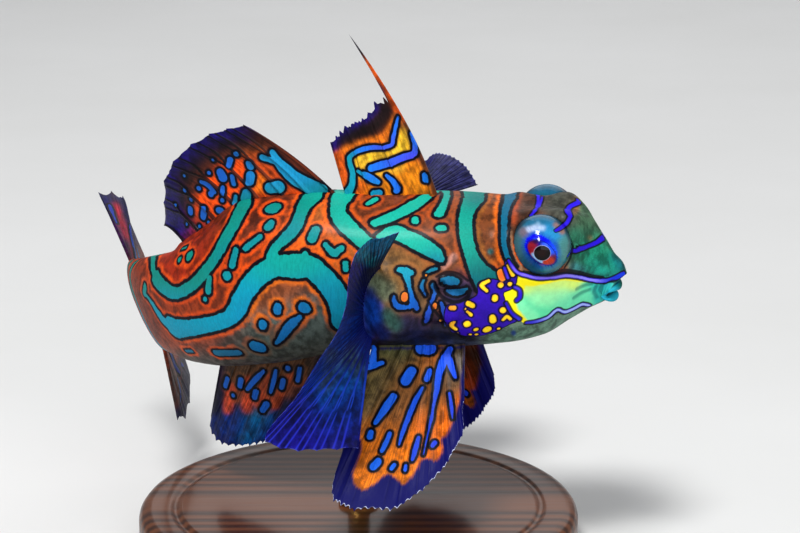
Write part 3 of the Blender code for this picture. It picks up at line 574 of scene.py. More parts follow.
SPOTS = (
    ((2.6, 3.4), (209.5, 277), (208, 292)), (3.4, (205, 299.5)), (5.4, (227, 276)),
    ((3.2, 3.6), (236, 250), (232.3, 266)), ((3.3, 3.6), (260, 237), (245.5, 248)),
    ((3.6, 4.2), (271, 223), (268, 227.5)), ((5, 5), (270.5, 209), (276, 207.5)),
    (3.2, (179.6, 259.6)), ((2.6, 3.2), (191.5, 253.5), (188, 258)),
    (2.0, (182.5, 248.5), (186, 247.5)), ((4.2, 4.2), (145, 287), (144.2, 293)),
    ((4.4, 4.6), (278, 306.5), (277, 311)), ((4.2, 4.2), (263, 323), (262.5, 327)),
    (5.6, (303, 307.5), (305.5, 308.5)),
    ((2.6, 4.8, 5.0, 3.8, 2.0), (300, 316.5), (293, 322.5), (287, 329.5), (281, 338), (276, 344)),
    ((4.8, 4.8), (253.5, 346), (262.5, 348)), ((2.6, 2.6), (215, 353), (240, 352.5)),
    ((2.2, 2.2), (186, 351), (192, 351)), ((4.6, 5.0), (315.5, 230), (312, 238.5)),
    ((2.8, 4.2, 3.2), (325.5, 244.5), (333.5, 253), (341.5, 248.5)),
    ((3.4, 3.4), (345.4, 263.5), (346, 269)), ((3.6, 4.0), (415, 219), (415, 221.5)),
    ((3.4, 3.4), (439, 228), (444, 228)), ((2.0, 2.6), (367, 204.5), (376, 199)),
    ((3.0, 4.2, 3.2), (399, 270), (405, 271), (411, 272.5)),
    ((3.8, 3.0, 2.6, 3.0, 3.4, 2.0), (406, 274), (408.5, 282), (410, 290), (412, 298),
     (414.5, 304.5), (417.5, 309)),
    ((2.4, 2.6, 3.2, 2.6, 2.2), (412, 306), (404, 307.5), (398, 306.5), (394.5, 302), (393.5, 297)),
    ((1.4, 2.0, 1.8, 1.2), (424, 280), (421.5, 286), (423, 291), (425.5, 295.5)),
    ((1.4, 2.2, 1.6), (425.5, 273), (431, 270.5), (437, 268.5)),
    ((2.0, 2.6, 2.2, 2.4, 3.2, 2.2), (432.5, 284.5), (435, 292), (433, 299), (430, 307),
     (428, 316), (426, 322)),
    ((2.0, 2.8, 3.0, 2.0), (441, 303), (444, 311), (446, 319), (446, 325)),
    ((1.8, 3.2, 3.4, 2.0), (447, 291), (453, 292.5), (460, 292), (466.5, 288.5)),
    ((3.6, 5.0, 4.2), (443.5, 281), (449.5, 280.5), (455.5, 281.5)),
)
VIOLET = (
    ((1.2, 1.7, 1.8, 1.8, 1.9, 1.9, 1.8, 1.8, 1.9, 2.0, 2.2, 2.4), (508.5, 260.5), (512.7, 267),
     (517.8, 272.9), (526.7, 275.6), (537, 278), (552, 277.4), (566.3, 275.6), (580.3, 277.5),
     (593, 280.4), (604.5, 281), (613.5, 278.6), (623.7, 273.8)),
    ((0.6, 1.2, 1.6, 1.5, 1.1), (542.5, 196.5), (541, 201), (538, 206), (534, 212), (530.5, 216)),
    ((2.0, 2.0, 1.8), (570.3, 216), (567.5, 222), (562, 227)),
    ((2.6, 2.2, 1.9, 1.9, 1.7), (603, 237.5), (597, 242.2), (588.4, 246), (581, 248.8),
     (571, 251.5)),
    ((1.2, 1.5, 1.5, 1.5, 1.5, 1.5, 1.5, 1.2), (526, 322.8), (536, 321.6), (548, 317.4),
     (557, 309.8), (565, 312), (574.4, 308.4), (582, 304.4), (590, 305.6)),
    ((1.6, 1.9, 1.9, 1.7), (514.5, 287), (519.5, 290), (520, 297), (516.6, 300.6)),
    ((1.5, 1.5, 1.8), (506, 303), (511.5, 313), (519.5, 319.3)),
    ((1.4, 1.6), (504.5, 268), (508, 278)),
)
CREST_VIOLET = (  # on the right only
    ((1.7, 2.0, 1.9, 2.2, 2.0), (577.5, 199.5), (578.4, 202.5), (570, 206.5), (567.8, 211),
     (570.3, 216)),
)
FLECKS = (
    ((1.7, 2.2, 1.6), (488.5, 281), (481.5, 285.2), (487, 291)), (2.9, (500.8, 285)),
    (2.4, (509.8, 284)), ((2.8, 2.8, 2.4), (509.2, 266.5), (511.3, 271), (512.7, 274.5)),
    (3.1, (495, 297.3), (494.8, 299)), (3.1, (502.6, 310), (503.4, 310.3)),
    ((3.2, 3.7), (492.5, 317), (493, 320.5)), ((2.8, 2.8), (468.5, 303.6), (472.5, 305.6)),
    ((2.2, 2.4), (451, 308), (454, 308)), (1.2, (465.5, 309)),
    ((1.3, 1.9), (467, 311.5), (471, 314.8)), (3.1, (466.5, 324.2), (468, 323.6)),
    ((1.6, 2.3, 1.6), (454, 322), (451.4, 325.6), (456, 329.6)),
    ((1.5, 1.5), (474.8, 330), (477.2, 329)), ((2.5, 2.7), (485.3, 330.7), (488.7, 328.3)),
    (1.8, (440.8, 321)), (0.9, (458, 333.3)), (0.9, (469.5, 334.4), (471, 334.5)),
    (0.9, (475.5, 334.4), (477.5, 334.4)), (1.0, (498, 328.7), (499.5, 328.5)),
    ((1.4, 1.6, 1.6), (503, 320), (507, 316.4), (510.5, 319)),
    ((3.6, 4.0), (500.8, 272.5), (502.4, 277.5)), ((1.9, 2.1), (435, 304.5), (434.6, 308)),
    ((3.2, 3.6), (404.6, 295.5), (404.4, 298)), (1.2, (426, 275.3)),
)
# Creases in the skin: the grooves sink them and the shader darkens them near-black, as painted
# shade
SHADED_CREASES = (
    ((0.8, 1.6, 2.4, 2.6, 2.2, 1.8, 1.4, 0.8), (524, 271.5), (535, 273.8), (547, 274.6),
     (556, 273.4), (566.5, 271.8), (580, 273.4), (592, 276.4), (603, 277.6)),
    ((0.4, 0.8, 0.8, 0.5), (571, 240), (572.8, 249), (570, 260), (565, 268)),
    ((0.6, 1.0, 0.8, 0.5), (427, 300), (434, 310), (446, 325), (462, 338)),
    ((0.8, 1.5, 1.6, 1.6, 1.4, 1.0), (434, 282), (437, 291), (445, 299), (456, 302.5),
     (466, 298.5), (471, 291)),
    ((0.6, 1.2, 1.2, 0.8), (436, 277), (446, 272.5), (458, 274), (468, 281)),
)
PATCH = (
    (507.6, 259.5), (516.5, 272.2), (517, 276), (515.3, 285), (513, 288), (505, 291.4),
    (503.1, 293.9), (506.3, 304.1), (511.4, 313), (519, 319.5), (507.6, 325), (494.8, 331.5),
    (478.3, 336), (460.4, 335), (450.5, 331), (444.5, 320), (446.5, 307), (452.8, 304.1),
    (464.2, 301.6), (477, 295.2), (478.3, 283.4), (491, 279.5), (497.4, 279.9), (503, 279),
    (505, 273), (504.3, 268.4), (505.5, 262),
)
CHEEK = (
    (516.8, 274.5), (526.7, 277.4), (537, 279.6), (552, 279), (566.3, 277.2), (580.3, 279.2),
    (593, 282), (603, 283.2), (613, 283), (617, 289), (612, 297), (603, 303), (588.4, 306),
    (582, 306), (574, 310), (565, 313.5), (557, 311.5), (548, 319), (536, 323), (526, 324.4),
    (520.4, 320.5), (511.4, 313), (506.3, 304.1), (503.1, 293.9), (505, 291.4), (513, 288),
    (515.3, 285), (517, 276),
)
# Folds at the corner of the mouth: the grooves sink them, and the cheek's mint is darkened to dark
# teal in them as painted shade
SHADED_MOUTH_FOLDS = (
    ((0.5, 0.9, 0.6), (603, 285), (600.5, 290), (603.5, 296)),
    ((0.4, 0.8, 0.5), (607.5, 284.5), (605, 289), (607.5, 294)),
    ((0.4, 0.7, 0.4), (596.5, 287), (594.5, 292), (597, 298)),
    ((0.4, 0.5, 0.3), (592, 284), (584, 286), (577, 289)),
    ((0.3, 0.5, 0.3), (590, 290), (582, 293), (574, 298)),
)
# Bands of the tail where it turns from view: half widths in mm, then shares and angles in degrees
TAIL_BANDS = (
    ((0.28, 0.38, 0.40, 0.36, 0.26), (0.885, 12), (0.902, 48), (0.894, 88), (0.912, 126),
     (0.900, 164)),
    ((0.24, 0.34, 0.36, 0.30, 0.22), (0.930, 10), (0.948, 50), (0.940, 90), (0.957, 130),
     (0.948, 168)),
    ((0.18, 0.26, 0.28, 0.24, 0.18), (0.970, 12), (0.982, 55), (0.976, 92), (0.986, 130),
     (0.980, 165)), ((0.20, 0.24), (0.918, 66), (0.923, 80)),
    ((0.18, 0.2), (0.957, 70), (0.961, 84)), ((0.20, 0.24), (0.926, 140), (0.932, 152)),
)
# Colours of the skin away from the marks, close to their outlines, and inside the bands. Each zone
# is a colour, its strength, its reach in pixels and the line that it fades from. The first zones
# serve both away from the marks and close to them.
EYE_FOLD = ((510.6, 232), (510.2, 244), (511.8, 255), (516.5, 264), (523, 270), (531, 273.6))
SHARED_GROUND = (
    ((164, 126, 96), 14, 1.3, *EYE_FOLD), ((66, 150, 156), 6, 4, (576, 267), (582, 270)),
    ((24, 96, 110), 5, 7, (540, 184), (562, 186), (575, 192)),
    ((0, 66, 124), 6, 6, (616, 258), (620, 265)), ((200, 110, 36), 4, 2.6, (559, 233)),
    ((190, 104, 36), 4, 2.6, (590, 238)), ((8, 120, 128), 4, 10, (606, 292), (620, 300)),
    ((42, 90, 190), 30, 1.6, (513.5, 333)), ((34, 112, 112), 30, 2.0, (490.4, 251.6)),
    ((26, 64, 92), 4, 14, (440, 336), (470, 345), (400, 345)),
    ((206, 150, 136), 24, 2.6, (443.5, 266), (448, 262), (453.5, 257)),
    ((12, 48, 92), 8, 9, (442, 285), (456, 284), (466, 290), (450, 297)),
    ((18, 104, 232), 16, 6, (371, 306), (374, 318)), ((16, 60, 150), 10, 5, (370, 292), (369, 334)),
    ((10, 44, 116), 12, 5, (384, 335), (378, 328)), ((54, 110, 100), 12, 6, (388, 316), (396, 324)),
    ((10, 32, 80), 14, 8, (408, 322), (420, 326), (412, 336)),
    ((14, 22, 52), 12, 6, (432, 318), (445, 328), (400, 340)),
    ((88, 80, 64), 8, 5, (418, 292), (421, 308)),
    # painted shadow: a near-black line along the underside of the belly, above the pelvic fins
    ((6, 8, 16), 16, 3.4, (372, 344), (402, 345), (430, 338), (452, 334), (470, 337)),
    ((140, 158, 128), 14, 7, (376, 282), (387, 291)),
)
DEEP_GROUND = SHARED_GROUND + (
    ((104, 44, 24), 3, 26, (258, 208), (236, 236), (222, 258)),
    ((176, 48, 18), 3, 22, (178, 262), (196, 248)),
    ((222, 100, 30), 3, 20, (300, 250), (318, 246)),
    ((172, 100, 44), 3, 16, (326, 215), (345, 240), (340, 262)),
    ((126, 62, 32), 4, 22, (362, 197), (396, 198), (425, 192)),
    ((132, 74, 44), 4, 26, (400, 222), (452, 215), (452, 240)),
    ((150, 108, 62), 4, 20, (392, 256), (425, 268), (415, 300)),
    ((118, 66, 28), 4, 18, (488, 198), (486, 250)),
    ((170, 66, 28), 8, 3.4, (516.5, 197), (514.5, 222)),
    ((84, 58, 44), 8, 8, (526, 198), (521, 215), (517, 226)),
    ((70, 84, 76), 5, 11, (545, 196), (556, 208), (566, 220)),
    ((36, 124, 98), 6, 9, (574, 236), (580, 248)), ((70, 120, 92), 5, 9, (584, 214), (590, 230)),
    ((0, 156, 124), 8, 15, (592, 250), (598, 262), (610, 262)),
    ((190, 116, 44), 4, 3.0, (575, 211), (577, 208)),
    ((4, 140, 136), 6, 11, (598, 270), (622, 277), (618, 284)),
    ((104, 152, 132), 5, 14, (600, 304), (570, 320), (536, 334), (500, 341)),
    ((124, 96, 50), 4, 12, (378, 262), (392, 258), (396, 284)),
    ((92, 116, 110), 5, 22, (300, 322), (316, 330), (270, 334)),
    ((176, 96, 52), 3, 12, (262, 302), (288, 292)),
    ((84, 96, 92), 4, 16, (190, 356), (250, 358), (330, 352)),
    ((140, 58, 34), 3, 12, (142, 275), (140, 300), (152, 330)),
    ((186, 78, 36), 4, 12, (180, 342), (205, 340)),
)
RIM_GROUND = SHARED_GROUND + (
    ((244, 112, 30), 3, 30, (300, 236), (326, 214), (322, 262)),
    ((248, 130, 34), 4, 16, (252, 306), (280, 288), (312, 298)),
    ((232, 84, 20), 4, 30, (262, 205), (232, 244), (190, 262), (200, 305)),
    ((196, 84, 24), 5, 22, (360, 195), (396, 200), (420, 196)),
    ((164, 84, 40), 6, 20, (448, 205), (440, 230), (448, 255), (400, 226)),
    ((156, 112, 62), 4, 20, (392, 256), (425, 268), (415, 300)),
    ((240, 118, 22), 5, 7, (498, 200), (497, 250)),
    ((150, 98, 40), 4, 10, (480, 205), (482, 255)),
    ((206, 84, 28), 8, 3.4, (516.5, 197), (514.5, 222)),
    ((92, 66, 46), 8, 8, (526, 198), (521, 215), (517, 226)),
    ((92, 104, 78), 5, 11, (545, 196), (556, 208), (566, 220)),
    ((48, 132, 98), 6, 9, (574, 236), (580, 248)), ((84, 126, 88), 5, 9, (584, 214), (590, 230)),
    ((4, 160, 124), 8, 15, (592, 250), (598, 262), (610, 262)),
    ((4, 142, 138), 6, 11, (598, 270), (622, 277), (618, 284)),
    ((118, 152, 118), 5, 14, (600, 304), (570, 320), (536, 334), (500, 341)),
    ((134, 98, 50), 4, 12, (378, 262), (392, 258), (396, 284)),
    ((104, 100, 84), 5, 14, (250, 345), (300, 350), (330, 345)),
    ((232, 100, 44), 4, 10, (170, 340), (215, 337), (240, 333)),
    ((204, 84, 40), 3, 12, (142, 275), (140, 300), (152, 330)),
)
BAND_TONES = (
    ((14, 136, 122), 3, 40, (160, 270), (200, 280), (240, 210), (300, 215)),
    ((0, 168, 204), 5, 24, (165, 322), (200, 327), (236, 315), (245, 295)),
    ((16, 168, 156), 4, 24, (265, 270), (310, 262)),
    ((8, 158, 186), 5, 22, (330, 290), (343, 318)),
    ((24, 176, 154), 4, 34, (350, 195), (360, 235), (400, 213), (420, 245)),
    ((14, 152, 134), 5, 18, (472, 202), (466, 235), (470, 256)),
    ((6, 96, 104), 5, 14, (484, 278), (478, 270)),
    ((4, 78, 96), 5, 12, (482, 190), (476, 196)),
    ((4, 98, 132), 6, 14, (508, 205), (506, 250)),
    ((18, 116, 186), 5, 22, (278, 308), (262, 325), (300, 310), (285, 335), (256, 347)),
    ((24, 100, 140), 5, 12, (215, 353), (240, 353), (188, 351)),
    ((12, 128, 150), 4, 14, (232, 258), (252, 242), (270, 226), (315, 234), (334, 250)),
    ((26, 150, 190), 5, 9, (404, 268), (408, 280)),
    ((22, 104, 214), 6, 12, (412, 302), (396, 304)),
    ((18, 96, 150), 6, 16, (424, 285), (434, 270), (455, 288)),
    ((40, 70, 190), 6, 14, (432, 300), (428, 318), (445, 315)),
)
VIOLET_TONES = (
    ((134, 112, 238), 4, 8, (522, 275), (540, 278), (560, 277)),
    ((150, 140, 246), 4, 8, (566, 276), (584, 279), (598, 281)),
    ((16, 64, 220), 5, 8, (606, 281), (622, 275)),
    ((166, 184, 244), 5, 9, (548, 317), (570, 310), (590, 305)),
    ((60, 60, 216), 4, 8, (527, 323), (538, 320)),
)
CHEEK_TONES = (
    ((226, 250, 120), 6, 6, (518, 284), (545, 285), (572, 283)),
    ((142, 244, 186), 5, 5, (514, 300), (520, 310), (530, 318)),
    ((164, 246, 182), 4, 8, (562, 292), (540, 292)),
    ((40, 178, 170), 6, 7, (600, 289), (606, 288), (602, 298)),
    ((4, 120, 172), 5, 5, (609, 285), (613, 288)),
    ((112, 222, 176), 4, 8, (566, 304), (584, 296)),
)
LIP_TONES = (
    ((36, 164, 186), 6, 6, (606, 298), (614, 296)),
    ((0, 92, 76), 5, 4, (612, 279), (622, 281)),
    ((10, 84, 190), 5, 3, (604, 283), (616, 279.5)),
)
FLECK_TONES = (
    ((226, 104, 40), 9, 4.5, (502, 275)),
    ((222, 110, 50), 9, 10, (435, 308), (404, 297), (424, 274)),
    ((240, 170, 60), 3, 8, (452, 308), (441, 321)),
)
# The stored distances with their marks, and the stored colours with the plain one and the zones
SKIN_MARKS = {
    "line": BANDS,
    "band": SPOTS,
    "violet": VIOLET,
    "fleck": FLECKS,
    "crease": SHADED_CREASES,
    "fold": SHADED_MOUTH_FOLDS,
}
SKIN_TONES = {
    "deep": ((170, 70, 30), DEEP_GROUND),
    "near": ((232, 100, 24), RIM_GROUND),
    "tone": ((12, 140, 140), BAND_TONES),
    "fleck_tone": ((255, 224, 40), FLECK_TONES),
    "violet_tone": ((46, 22, 205), VIOLET_TONES),
    "cheek_tone": ((100, 222, 168), CHEEK_TONES),
    "lip_tone": ((8, 108, 106), LIP_TONES),
}


def mesh_piece(name, points, faces, smooth=True):
    """A mesh object from points in millimetres and arrays of faces of 3 or 4 corners."""
    mesh = bpy.data.meshes.new(name)
    corners = np.concatenate([np.asarray(f).ravel() for f in faces])
    sizes = np.concatenate([np.full(len(f), np.shape(f)[1]) for f in faces])
    mesh.vertices.add(len(points))
    mesh.vertices.foreach_set("co", (np.asarray(points) * MM).astype(np.float32).ravel())
    mesh.loops.add(len(corners))
    mesh.loops.foreach_set("vertex_index", corners.astype(np.int32))
    mesh.polygons.add(len(sizes))
    starts = np.concatenate([[0], np.cumsum(sizes)[:-1]])
    mesh.polygons.foreach_set("loop_start", starts.astype(np.int32))
    mesh.update(calc_edges=True)
    mesh.validate()
    mesh.polygons.foreach_set("use_smooth", np.full(len(mesh.polygons), smooth))
    mesh.update()
    made = bpy.data.objects.new(name, mesh)
    bpy.context.scene.collection.objects.link(made)
    return made


def keep(piece, name, values):
    """Stores a number or a colour for each of a mesh's points."""
    values = np.asarray(values, np.float32)
    if values.ndim == 2:
        values = np.column_stack([values, np.ones(len(values), np.float32)])
        made = piece.data.attributes.new(name, "FLOAT_COLOR", "POINT")
        made.data.foreach_set("color", values.ravel())
    else:
        made = piece.data.attributes.new(name, "FLOAT", "POINT")
        made.data.foreach_set("value", values)


def map_flat(piece, places):
    """Gives the mesh a UV map from a place for each of its points. Faces that close a ring reach on
    to the map's upper edge."""
    loops = len(piece.data.loops)
    corners = np.zeros(loops, np.int32)
    piece.data.loops.foreach_get("vertex_index", corners)
    spots = np.asarray(places, np.float32)[corners]
    starts = np.zeros(len(piece.data.polygons), np.int32)
    sizes = np.zeros(len(piece.data.polygons), np.int32)
    piece.data.polygons.foreach_get("loop_start", starts)
    piece.data.polygons.foreach_get("loop_total", sizes)
    four = starts[sizes == 4][:, None] + np.arange(4)
    heights = spots[four, 1]
    wraps = heights.max(1) - heights.min(1) > 0.5
    heights[wraps] += heights[wraps] < 0.5
    spots[four, 1] = heights
    layer = piece.data.uv_layers.new(name="OFBake")
    layer.uv.foreach_set("vector", spots.ravel())


def mouth_rim(fold):
    """The middle line of the lips for the right side, as distances ahead of, above and beside the
    tip of the snout, and how far each place belongs to the lower lip."""
    lines = []
    for (place_at, size, _), turned, droop in (
        (UPPER_LIP, fold, -0.35),
        (LOWER_LIP, math.pi - fold, 0.25),
    ):
        turned = np.minimum(turned, 1.75)  # where a lip's curve ends, in radians
        ahead = place_at[0] + size[0] * np.cos(turned)
        above = place_at[1] + droop * (1 - np.cos(turned))
        lines.append(np.stack([ahead, above, size[1] * np.sin(turned)]))
    lower_share = ease(fold, math.radians(72), math.radians(108))
    return lines[0] * (1 - lower_share) + lines[1] * lower_share, lower_share


def mouth_rows(angle):
    """Rows of points from inside the mouth, over the lips, out to the snout, and their twins on
    the right side."""
    fold = from_back(angle)
    side = np.where(np.sin(angle) < 0, -1.0, 1.0)
    rim, lower_share = mouth_rim(fold)
    lean = 0.5 * np.minimum(fold, math.pi - fold)
    facing = np.stack([np.cos(lean), 0 * lean, np.sin(lean)])
    radial = np.stack([-np.sin(lean) * np.sin(fold), np.cos(fold), np.cos(lean) * np.sin(fold)])
    slim = 1 - 0.42 * np.sin(fold) ** 4  # the lips are thinner at the corners
    forward, across = (
        (UPPER_LIP[2][k] * (1 - lower_share) + LOWER_LIP[2][k] * lower_share) * slim for k in (0, 1)
    )

    def lip(turn):
        """A row of points at a turn round the lips."""
        return rim + facing * forward * np.cos(turn) + radial * across * np.sin(turn)

    throat = np.array(THROAT)[:, None]
    turns = np.radians(np.linspace(*LIP_TURNS))
    rows = []
    for shrink, back in MOUTH_HOLLOW:
        row = throat + (lip(turns[0]) - throat) * shrink
        row[0] -= back
        rows.append(row)
    rows = np.array(rows + [lip(turn) for turn in turns])
    return [mouth_point(rows[:, 0], rows[:, 1], rows[:, 2] * s) for s in (side[None], 1.0)]


def blemish(points, centre, radius, rim):
    """A small pit with a raised rim."""
    away = np.linalg.norm(points - centre, axis=-1)
    return rim * hump(away - radius, radius * 0.8) - PIT_DEPTH * hump(away, radius * 0.75)


def skin_rows():
    """The body's grid of points, the same points on the right side, and their shares and angles."""
    angle = np.linspace(0, TURN, ROUND, endpoint=False)
    fold = from_back(angle)
    head = np.linspace(0, 1, HEAD_ROWS, endpoint=False) ** HEAD_CROWDING * HEAD_SHARE
    along = np.concatenate([head, np.linspace(HEAD_SHARE, 1, BODY_ROWS)])[:, None]
    start = FIRST_ROW[0] + FIRST_ROW[1] * ease(fold, *FIRST_ROW_TURNS)
    share = along + start[None] * np.exp(-along / 0.03) * (1 - along)
    blunt = BLUNT_END[0] * np.exp(-((share / BLUNT_END[1]) ** 2))
    middle = spine_at(np.full(share.shape, FIRST_ROW[0]))[0]
    both = []
    for turned in (angle, fold):
        turned = np.broadcast_to(turned, share.shape)
        points = skin(share, turned)
        outward = skin_normal(share, turned)
        back = from_back(turned)
        lift = np.zeros(share.shape)
        for sign in (1, -1):
            for (at, around), radius, rim in (NOSTRIL, PORE):
                lift += blemish(points, skin(at, around * sign), radius, rim)
        for first, last, side in FIN_SWELLINGS:
            within = ease(share, first - 0.012, first + 0.01) - ease(share, last, last + 0.02)
            away = (back - side) * SWELLING_GIRTH / SWELLING[1]
            lift += SWELLING[0] * within * np.exp(-(away**2))
        points = points + outward * lift[..., None]
        tip = np.exp(-((share / SNOUT_TIP[1]) ** 2)) * (1 - ease(back, 0.9, 1.9))
        points[..., 0] += SNOUT_TIP[0] * tip
        crest = hump(share - SNOUT_CREST[1], SNOUT_CREST[2]) * (1 - ease(back, 0.8, 1.7))
        points += outward * (SNOUT_CREST[0] * crest)[..., None]
        pull = blunt * (1 - 0.55 * ease(back, 1.2, 2.4))
        points += (middle - points) * pull[..., None]
        both.append(points)
    point, tailward, _, right = spine_at(1.0)
    lips = mouth_rows(angle)
    for k, rows in enumerate(both):
        tail = []
        for narrow, back in TAIL_END:
            sideways = (rows[-1] - point) @ right
            tail.append(rows[-1] - np.outer(sideways * (1 - narrow), right) + tailward * back)
        both[k] = np.concatenate([lips[k], rows, tail])
    mouth_share = np.linspace(LIP_SHARE, 0, len(lips[0]))
    ends = [np.tile(v[:, None], ROUND) for v in (mouth_share, 1 + 0.002 * np.arange(1, 5))]
    share = np.concatenate([ends[0], share, ends[1]])
    return *both, share, np.broadcast_to(angle, share.shape)


def sink_sockets(points, outward):
    """Draws the skin in behind each eyeball."""
    for side in (1, -1):
        apart = points - place(EYE_SHARE, EYE_HEIGHT, EYE_SIDE * side)
        away = np.linalg.norm(apart, axis=-1)
        along = np.sum(apart * outward, axis=-1)
        reach = (EYE_RADIUS + SOCKET_GAP) ** 2
        behind = along + np.sqrt(np.maximum(along**2 + reach - away**2, 0))
        held = (away < EYE_RADIUS - SOCKET_EDGE)[..., None]
        points = np.where(held, points - outward * behind[..., None], points)
    return points


def to_the_back(laid, share_at):
    """Carries the long marks that run up to the back on to its middle line."""
    found = []
    for line, widths in laid:
        for end, inner in ((0, 3), (-1, -4)) if len(line) >= LONG_MARK else ():
            share, angle = share_at(line[end])
            upward = abs(angle) < abs(share_at(line[inner])[1])
            if abs(angle) < NEAR_BACK and share > BEHIND_EYES and upward:
                steps = skin(np.full(3, share), np.linspace(angle, 0, 4)[1:])
                more = np.full(3, widths[end])
                if end == 0:
                    line, widths = np.vstack([steps[::-1], line]), np.concatenate([more, widths])
                else:
                    line, widths = np.vstack([line, steps]), np.concatenate([widths, more])
        found.append((line, widths))
    return found


def with_widths(widths, places):
    """A smooth row of places with a half width each."""
    return curve_through([(*spot, width) for spot, width in zip(places, widths)])


def field_of(surface, outline, points, seen, allowed, reach):
    """How far points lie outside an outline drawn in the picture, negative inside it."""
    ring = curve_through([*outline, outline[0]], 3)
    away = edge_distance(points, [surface.lay((0.0, *map(tuple, ring)))], reach)
    return np.where(inside(seen, ring) & allowed, -away, away)


def build_skin():
    """The body's skin as one closed mesh with its marks."""
    true, twin, share, angle = skin_rows()
    rows = len(true)
    outward = unit(
        np.cross(np.gradient(true, axis=0), np.roll(true, -1, 1) - np.roll(true, 1, 1))
    )
    middle = true[rows // 2]
    if np.sum(outward[rows // 2] * (middle - middle.mean(0))) < 0:
        outward = -outward
    drawn_on = Surface(true[::2, ::2], closed=True)
    flat_share = share[::2, ::2].ravel()
    flat_angle = ((angle[::2, ::2] + math.pi) % TURN - math.pi).ravel()  # negative on the left

    def share_at(point):
        """The share and the angle of the skin's point nearest to a point."""
        nearest = np.argmin(np.sum((drawn_on.points - point) ** 2, axis=1))
        return flat_share[nearest], flat_angle[nearest]

    points, mirrored = true.reshape(-1, 3), twin.reshape(-1, 3)
    left = np.sin(angle.ravel()) < -1e-6
    fields = {}
    for name, marks in SKIN_MARKS.items():
        laid = [drawn_on.lay(mark) for mark in marks]
        if name == "line":
            laid = to_the_back(laid, share_at)
            for widths, *places in TAIL_BANDS:
                drawn = with_widths(widths, places)
                laid.append((skin(drawn[:, 0], np.radians(drawn[:, 1])), drawn[:, 2]))
        field = edge_distance(points, laid)
        field[left] = np.minimum(field[left], edge_distance(mirrored[left], laid))
        fields[name] = field
    crest = edge_distance(points, [drawn_on.lay(mark) for mark in CREST_VIOLET])
    fields["violet"] = np.minimum(fields["violet"], crest)
    bands, spots = fields["line"], fields["band"] + SPOT_INSET
    fields["line"] = np.minimum(bands - OUTLINE_EXTRA, spots)
    fields["band"] = np.minimum(bands, spots)
    seen = to_picture(mirrored)
    flat = share.ravel()
    facing = from_back(angle).ravel()
    allowed = (facing > CHEEK_TURNS[0]) & (facing < CHEEK_TURNS[1]) & (flat < CHEEK_END)
    for name, outline in (("patch", PATCH), ("cheek", CHEEK)):
        fields[name] = field_of(drawn_on, outline, mirrored, seen, allowed, 6.0)
    groove = np.zeros(len(points))
    for name, depth, width in GROOVES:
        groove -= depth * np.exp(-((np.maximum(fields[name], 0) / width) ** 2))
    shaped = true + outward * groove.reshape(share.shape)[..., None]
    shaped = sink_sockets(shaped, outward).reshape(-1, 3)
    piece = mesh_piece("mandarinfish_skin", shaped, facing_out(shaped, tube_faces(rows, ROUND)))
    for name, field in fields.items():
        keep(piece, name, field)
    x, y = seen.T  # the cheek's yellow rim is broad by the patch and ends towards the lips
    rim_width = 0.2 + 0.85 * np.exp(-((np.hypot(x - 511, y - 286) / 30) ** 2))
    rim_width = rim_width * (1 - ease(x, 578, 590)) - 0.35 * ease(x, 584, 594)
    keep(piece, "rim", fields["cheek"] + rim_width)
    for name, (plain, zones) in SKIN_TONES.items():
        keep(piece, name, tinted(seen, plain, zones))
    keep(piece, "mouth", 1 - ease(flat, *MOUTH_SHARES))
    keep(piece, "lip", (flat < -0.001).astype(float))
    map_flat(piece, np.stack([(flat - LIP_SHARE) / 1.04, angle.ravel() / TURN], axis=-1))
    return piece


# Marks and colours of the fins, in the same terms as the body's
FIRST_DORSAL_MARKS = (
    ((1.0, 1.7, 2.0, 2.0, 2.0, 2.3, 2.4, 2.2, 2.4, 2.5, 2.7, 3.2, 4.2), (398, 117), (395.5, 128),
     (393, 138), (391.5, 145), (382, 147.5), (372.5, 148), (364, 149.5), (355, 152.5),
     (349.5, 158), (350, 165), (352.5, 174), (352, 185), (348, 192)),
    ((1.6, 2.4, 3.0, 3.4, 3.7, 3.7, 3.4), (411, 133), (415, 145), (414, 154), (404, 157.5),
     (392, 162), (381, 165.5), (371, 168.5)),
    ((1.6, 2.8, 3.4, 2.2), (358, 171.5), (366, 175), (373, 179.5), (378, 182)),
    ((1.6, 2.6, 3.3, 3.0), (386.5, 175.5), (393, 181), (397.5, 188), (396.5, 190.5)),
    ((3.0, 3.0), (425, 175), (425.5, 179.5)), ((3.2, 3.4), (374, 193), (379, 192.5)),
)
FIRST_DORSAL_DEEP = (
    ((255, 206, 56), 6, 6, (357, 163), (372, 157), (388, 153.5), (402, 147), (406, 136)),
    ((248, 152, 24), 4, 12, (385, 192), (402, 178), (416, 180)),
    ((255, 196, 60), 5, 4, (360, 172), (380, 174), (400, 168)),
    ((236, 104, 28), 4, 8, (338, 160), (341, 185)),
    ((244, 132, 28), 5, 4, (396, 118), (387, 139), (358, 144), (345, 150)),
    ((14, 12, 20), 20, 6, (340, 140), (356, 134), (372, 127), (386, 114), (380, 98)),
    ((20, 6, 118), 40, 5, (332, 143), (338, 133), (348, 126), (364, 117), (372, 108), (375, 92)),
    ((112, 60, 40), 12, 5, (439, 186), (425, 156), (409, 127)),
    ((236, 100, 24), 20, 4, (402, 113), (385, 82), (370, 60)),
    ((40, 44, 58), 20, 5, (350, 35), (363, 51)),
)
BLUE_LINES = (
    ((84, 70, 232), 4, 9, (393, 146), (380, 146), (408, 157), (395, 161)),
    ((40, 120, 240), 4, 10, (396, 125), (365, 150), (411, 138), (372, 178), (397, 188)),
    ((14, 160, 178), 5, 12, (350, 165), (354, 180), (350, 192), (376, 193)),
)
